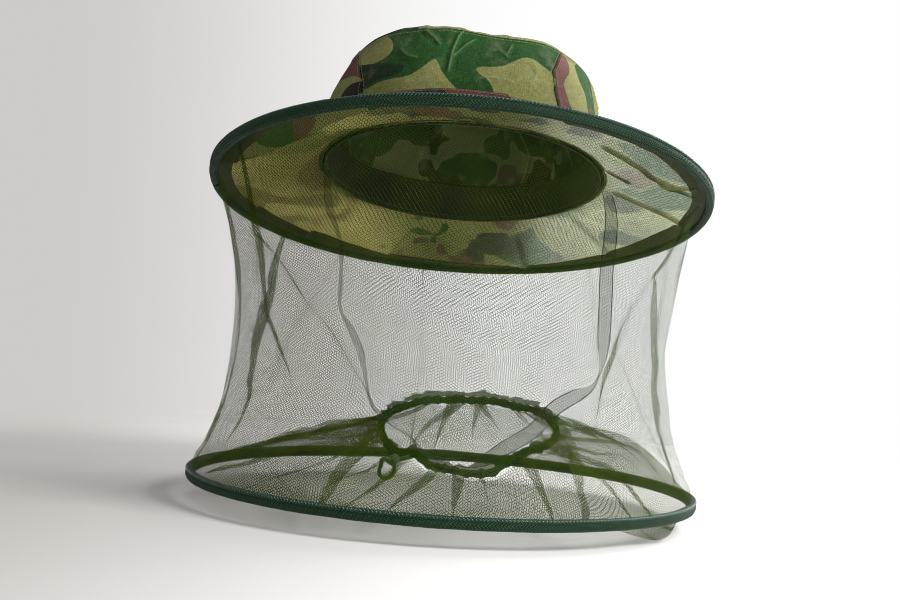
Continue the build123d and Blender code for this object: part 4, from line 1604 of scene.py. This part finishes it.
def neck_casing():
    """Gathered hem over the elastic."""
    angle = turn(1000)
    path, out, up = neck_line(angle)
    main, fine = (ridge[:, None] for ridge in gathers(angle))
    fat = 1 + 0.16 * ring_noise(angle, 7, 0.4, seed=124)[:, None]
    around = turn(26)
    gather = 1 + 0.26 * main * (0.6 + 0.4 * np.cos(around)) + 0.10 * fine
    outward = np.maximum(2.2 * fat * gather * np.cos(around), -2.1)
    upward = 3.7 * fat * (0.90 + 0.18 * main) * np.sin(around)
    piece(tube("neck_casing_hem", path, out, up, np.stack([outward, upward], -1), CASING_NET),
          "neck", "neck_casing")


def neck_frill():
    """Net standing above the casing."""
    angle, share = np.meshgrid(turn(1000), np.linspace(0, 1, 9), indexing="ij")
    main, fine = gathers(angle)
    radius = NECK_R + 2.6 + share * (1.4 + 1.9 * main) + 0.5 * fine * share
    radius = radius + 1.6 * share * ring_noise(angle, 9, seed=125)
    tall = 3.4 + 2.2 * ring_noise(angle, 7, seed=122)
    points = (NECK_CENTRE + spoke(angle, NECK_BACK) * radius[..., None]
              + NECK_UP * (2.8 + hem_wave(angle) + share * tall)[..., None])
    uv = wrap_uv(angle * HOOP_R, share * 6, CLOTH_LENGTH)
    piece(grid("neck_frill_net", points, CASING_NET, uv, wrap=True), "neck")


def rope(name, path, radius):
    """Two-ply cord along a path."""
    tangent = unit(np.gradient(path, axis=0))
    out = np.zeros_like(path)
    last = np.array([0.2, -1.0, 0.3])
    for i, along in enumerate(tangent):     # carries the outward direction without twist
        last = unit(last - along * (last @ along))
        out[i] = last
    ply = 0.86 + 0.22 * np.abs(np.cos(turn(14) - run_length(path)[:, None] * 1.9))
    return tube(name, path, out, np.cross(tangent, out), circle(radius * ply, 14), CORD,
                wrap=False)


def neck_knot():
    """Knotted loop of the elastic."""
    angle = turn(59)
    loop = np.stack([5.2 * np.sin(angle), -3.2 + 1.2 * np.sin(2 * angle),
                     5.4 * np.cos(angle) + np.sin(angle)], 1)
    path = curve(KNOT_PLACE + np.vstack([KNOT_LEAD, loop[6:54:3], KNOT_TAIL]), 300)
    strand = rope("neck_knot_loop", path, 1.45)
    turns = rope("kb", curve(KNOT_PLACE + np.array(KNOT_TURNS), 120), 1.35)
    piece(join([strand, turns], "neck_knot_loop"), "neck", "neck_knot")


def neck_elastic():
    """Three-ply cord inside the casing."""
    angle = turn(700)
    path, out, up = neck_line(angle)
    ply = 0.62 + 0.12 * np.abs(np.cos(1.5 * (turn(12) - angle[:, None] * 62 * 2)))
    piece(tube("neck_elastic_cord", path, out, up, circle(ply, 12), CORD),
          "neck", "neck_elastic")


# ------------------------------------------------------------------ chin ribbon
# stations from the left brim round under the chin to the right: x, y, z, twist in degrees
RIBBON_LINE = [
    (-97.5, 1, -3, 60), (-96, -1, -18, 62), (-93, -5, -32, 66), (-88, -8, -43.5, 72),
    (-84, -12, -55, 76), (-82.3, -16, -64, 78), (-80.5, -24, -84, 80), (-78.8, -31, -101, 84),
    (-71, -38, -113, 70), (-64.1, -44, -126.3, 64), (-60, -49, -138, 72), (-57, -54, -148, 84),
    (-51.8, -60, -161.8, 82), (-44.7, -66, -170.3, 84), (-35.1, -70, -178.1, 86),
    (-23.8, -73, -184.3, 86), (-16.3, -74, -192.5, 84), (-8, -74, -197.5, 80),
    (5.1, -74, -199.5, 74), (18, -74, -199, 50), (28.4, -74, -196.5, 40), (38, -74, -190, 24),
    (47.7, -73, -183.5, 10), (60.6, -69, -173.3, 4), (73.5, -64, -158.5, 8),
    (87, -60, -149.3, 30), (96, -56, -143.6, 70), (101.5, -52, -137, 96),
    (104.6, -46, -127, 120), (106, -40, -115.3, 150), (106.5, -32, -98, 168),
    (106.6, -24, -78, 172), (106.6, -18, -60, 174), (107.5, -14, -50.6, 172),
    (108.6, -10, -38, 168), (108.8, -6, -24, 160), (106, -3, -10, 140), (102.5, 0, -3, 112)]
RIBBON_HALF_WIDTH = 5.0


def chin_ribbon():
    line = curve(RIBBON_LINE, 520)
    path, twist = line[:, :3], np.radians(line[:, 3:])
    # the low part comes forward along the line of sight, so it looks unmoved from the camera
    sight = path - VIEW_POINT
    nearer = 18.5 * ease((-path[:, 2:3] - 105) / 65)
    path = VIEW_POINT + sight * (1 - nearer / sight[:, 1:2])
    path[:, 2] += 1.2 * ease((-path[:, 2] - 170) / 15)
    tangent = unit(np.gradient(path, axis=0))
    flat = unit(np.cross(tangent, Y_DIR))
    width = np.cos(twist) * flat + np.sin(twist) * np.cross(flat, tangent)
    face = np.cross(width, tangent)
    across = np.linspace(-1, 1, 13)
    run = run_length(path)[:, None]
    curl = 0.35 * np.sin(run / 14) * across ** 2 + 0.18 * np.sin(run / 5.5) * across ** 3
    aside = across * RIBBON_HALF_WIDTH
    points = path[:, None] + width[:, None] * aside[:, None] + face[:, None] * curl[..., None]
    uv = np.stack(np.broadcast_arrays(run, aside), -1)
    ob = grid("chin_ribbon_organza", points, RIBBON, uv,
              attrs={"across": np.broadcast_to(across, curl.shape)})
    piece(ob, "ribbon", "chin_ribbon")
    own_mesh(ob)


# ------------------------------------------------------------------ stage, light, camera
# All in metres.
def studio_floor():
    """Pale disc that fades out, with painted shade making its left side darker."""
    floor_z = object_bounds()[0].z - 0.002
    bpy.ops.mesh.primitive_circle_add(vertices=96, radius=2.2, fill_type="NGON",
                                      location=(0, 0, floor_z))
    floor = bpy.context.object
    floor.name = "studio_floor"
    mat = new_material("floor_pale")
    fade = mat.step(mat.length(mat.place()), 0.22, 0.8)
    mottle = mat.noise(mat.place(), 3.0, detail=2.0)
    # painted shade: the floor is darker on the left (-X)
    right = mat.step(mat.split(mat.place())[0], -0.42, 0.05)
    pale = mat.mix(mottle, (0.78, 0.775, 0.765, 1), (0.82, 0.815, 0.81, 1))
    colour = mat.mix(right, (0.54, 0.52, 0.505, 1), pale)
    surface = mat.principled(colour, rough=0.9)
    floor.data.materials.append(mat.finish(mat.blend(fade, surface, mat.clear())))
    floor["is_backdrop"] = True


def studio_world():
    """White background with a dimmer left; a softer copy of it lights the scene."""
    world = bpy.data.worlds.new("studio")
    bpy.context.scene.world = world
    sky = Shader(world, "OutputWorld")
    x = sky.split(sky.node("TexCoord").outputs["Generated"])[0]
    seen = sky.mix(sky.step(x, -0.26, 0.06), (0.62, 0.595, 0.575, 1), (1.0, 1.0, 1.0, 1))
    slope = sky.node("MapRange", {"Value": x, "From Min": -0.9, "From Max": 0.5}).outputs[0]
    soft = sky.mix(slope, (0.40, 0.39, 0.36, 1), (1.0, 1.0, 1.0, 1))
    light = sky.node("Background", {"Color": soft, "Strength": 0.62}).outputs[0]
    backdrop = sky.node("Background", {"Color": seen, "Strength": 1.0}).outputs[0]
    camera_ray = sky.node("LightPath").outputs["Is Camera Ray"]
    sky.finish(sky.blend(camera_ray, light, backdrop))


def area_light(name, place, size, power, target=(0, 0, -0.06), colour=(1, 1, 1)):
    light = bpy.data.lights.new(name, "AREA")
    light.shape = "RECTANGLE"
    light.size, light.size_y = size
    light.energy = power
    light.color = colour
    ob = bpy.data.objects.new(name, light)
    bpy.context.scene.collection.objects.link(ob)
    ob.location = place
    ob.rotation_euler = (Vector(target) - Vector(place)).to_track_quat("-Z", "Y").to_euler()
    ob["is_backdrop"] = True


def studio_lights():
    warm = (1.0, 0.985, 0.96)
    area_light("key_right_top", place=(1.4, -0.7, 1.05), size=(0.7, 0.7), power=36,
               colour=warm)
    area_light("fill_front_left", place=(-1.2, -1.5, 0.3), target=(0, 0, -0.1),
               size=(1.2, 1.2), power=3.4, colour=warm)
    area_light("back_right", place=(1.1, 1.0, 0.7), size=(0.9, 0.9), power=26)
    area_light("low_front", place=(0.5, -1.3, -0.21), target=(0, 0, -0.05), size=(1.0, 0.4),
               power=6)


def camera():
    """Looks along +Y, slightly down and rolled."""
    data = bpy.data.cameras.new("photo_view")
    data.sensor_width = 36.0
    data.lens = 60.9796
    data.clip_start, data.clip_end = 0.05, 20
    ob = bpy.data.objects.new("photo_view", data)
    scene = bpy.context.scene
    scene.collection.objects.link(ob)
    roll, pitch = 0.0700, 0.0107
    forward = Vector((0, math.cos(pitch), -math.sin(pitch)))
    level_up = Vector((0, math.sin(pitch), math.cos(pitch)))
    level_right = Vector((1, 0, 0))
    right = level_right * math.cos(roll) + level_up * math.sin(roll)
    up = -level_right * math.sin(roll) + level_up * math.cos(roll)
    pose = Matrix((right, up, -forward)).transposed().to_4x4()
    pose.translation = Vector(metres(VIEW_POINT))
    ob.matrix_world = pose
    scene.camera = ob


def render_settings():
    scene = bpy.context.scene
    if hasattr(scene, "cycles"):    # absent when the Cycles add-on is off
        scene.cycles.transparent_max_bounces = 48
        scene.cycles.filter_width = 0.9
    scene.view_settings.view_transform = "Standard"


# ------------------------------------------------------------------ build
# The order matters: the stitch rows and the collar draw from one random sequence.
for panel_index, panel_side in enumerate(("front", "left", "back", "right")):
    crown_panel(panel_side, panel_index)
crown_top()
rim_welt()
seam_topstitch()
rim_topstitch()
hat_band()
sweatband()
brim_cloth()
brim_facing()
brim_topstitch()
bound_hoop("brim", BRIM_RING, "brim_binding", "hat", seam_at=math.pi, gap=0.009)
bound_hoop("veil", LOWER_RING, "veil_hoop_binding", "lower_hoop", seam_at=math.pi / 2)


def hoop_ferrules():
    for tag, ring, seam_at, body in (("brim_hoop", BRIM_RING, math.pi, "hat"),
                                     ("veil_hoop", LOWER_RING, math.pi / 2, "lower_hoop")):
        ferrule(tag, ring, seam_at, body)


hoop_ferrules()
steel_hoops()
veil_net()
collar_net()
neck_casing()
neck_frill()
neck_knot()
neck_elastic()
chin_ribbon()
studio_floor()
studio_world()
studio_lights()
camera()
render_settings()

bpy.context.view_layer.update()
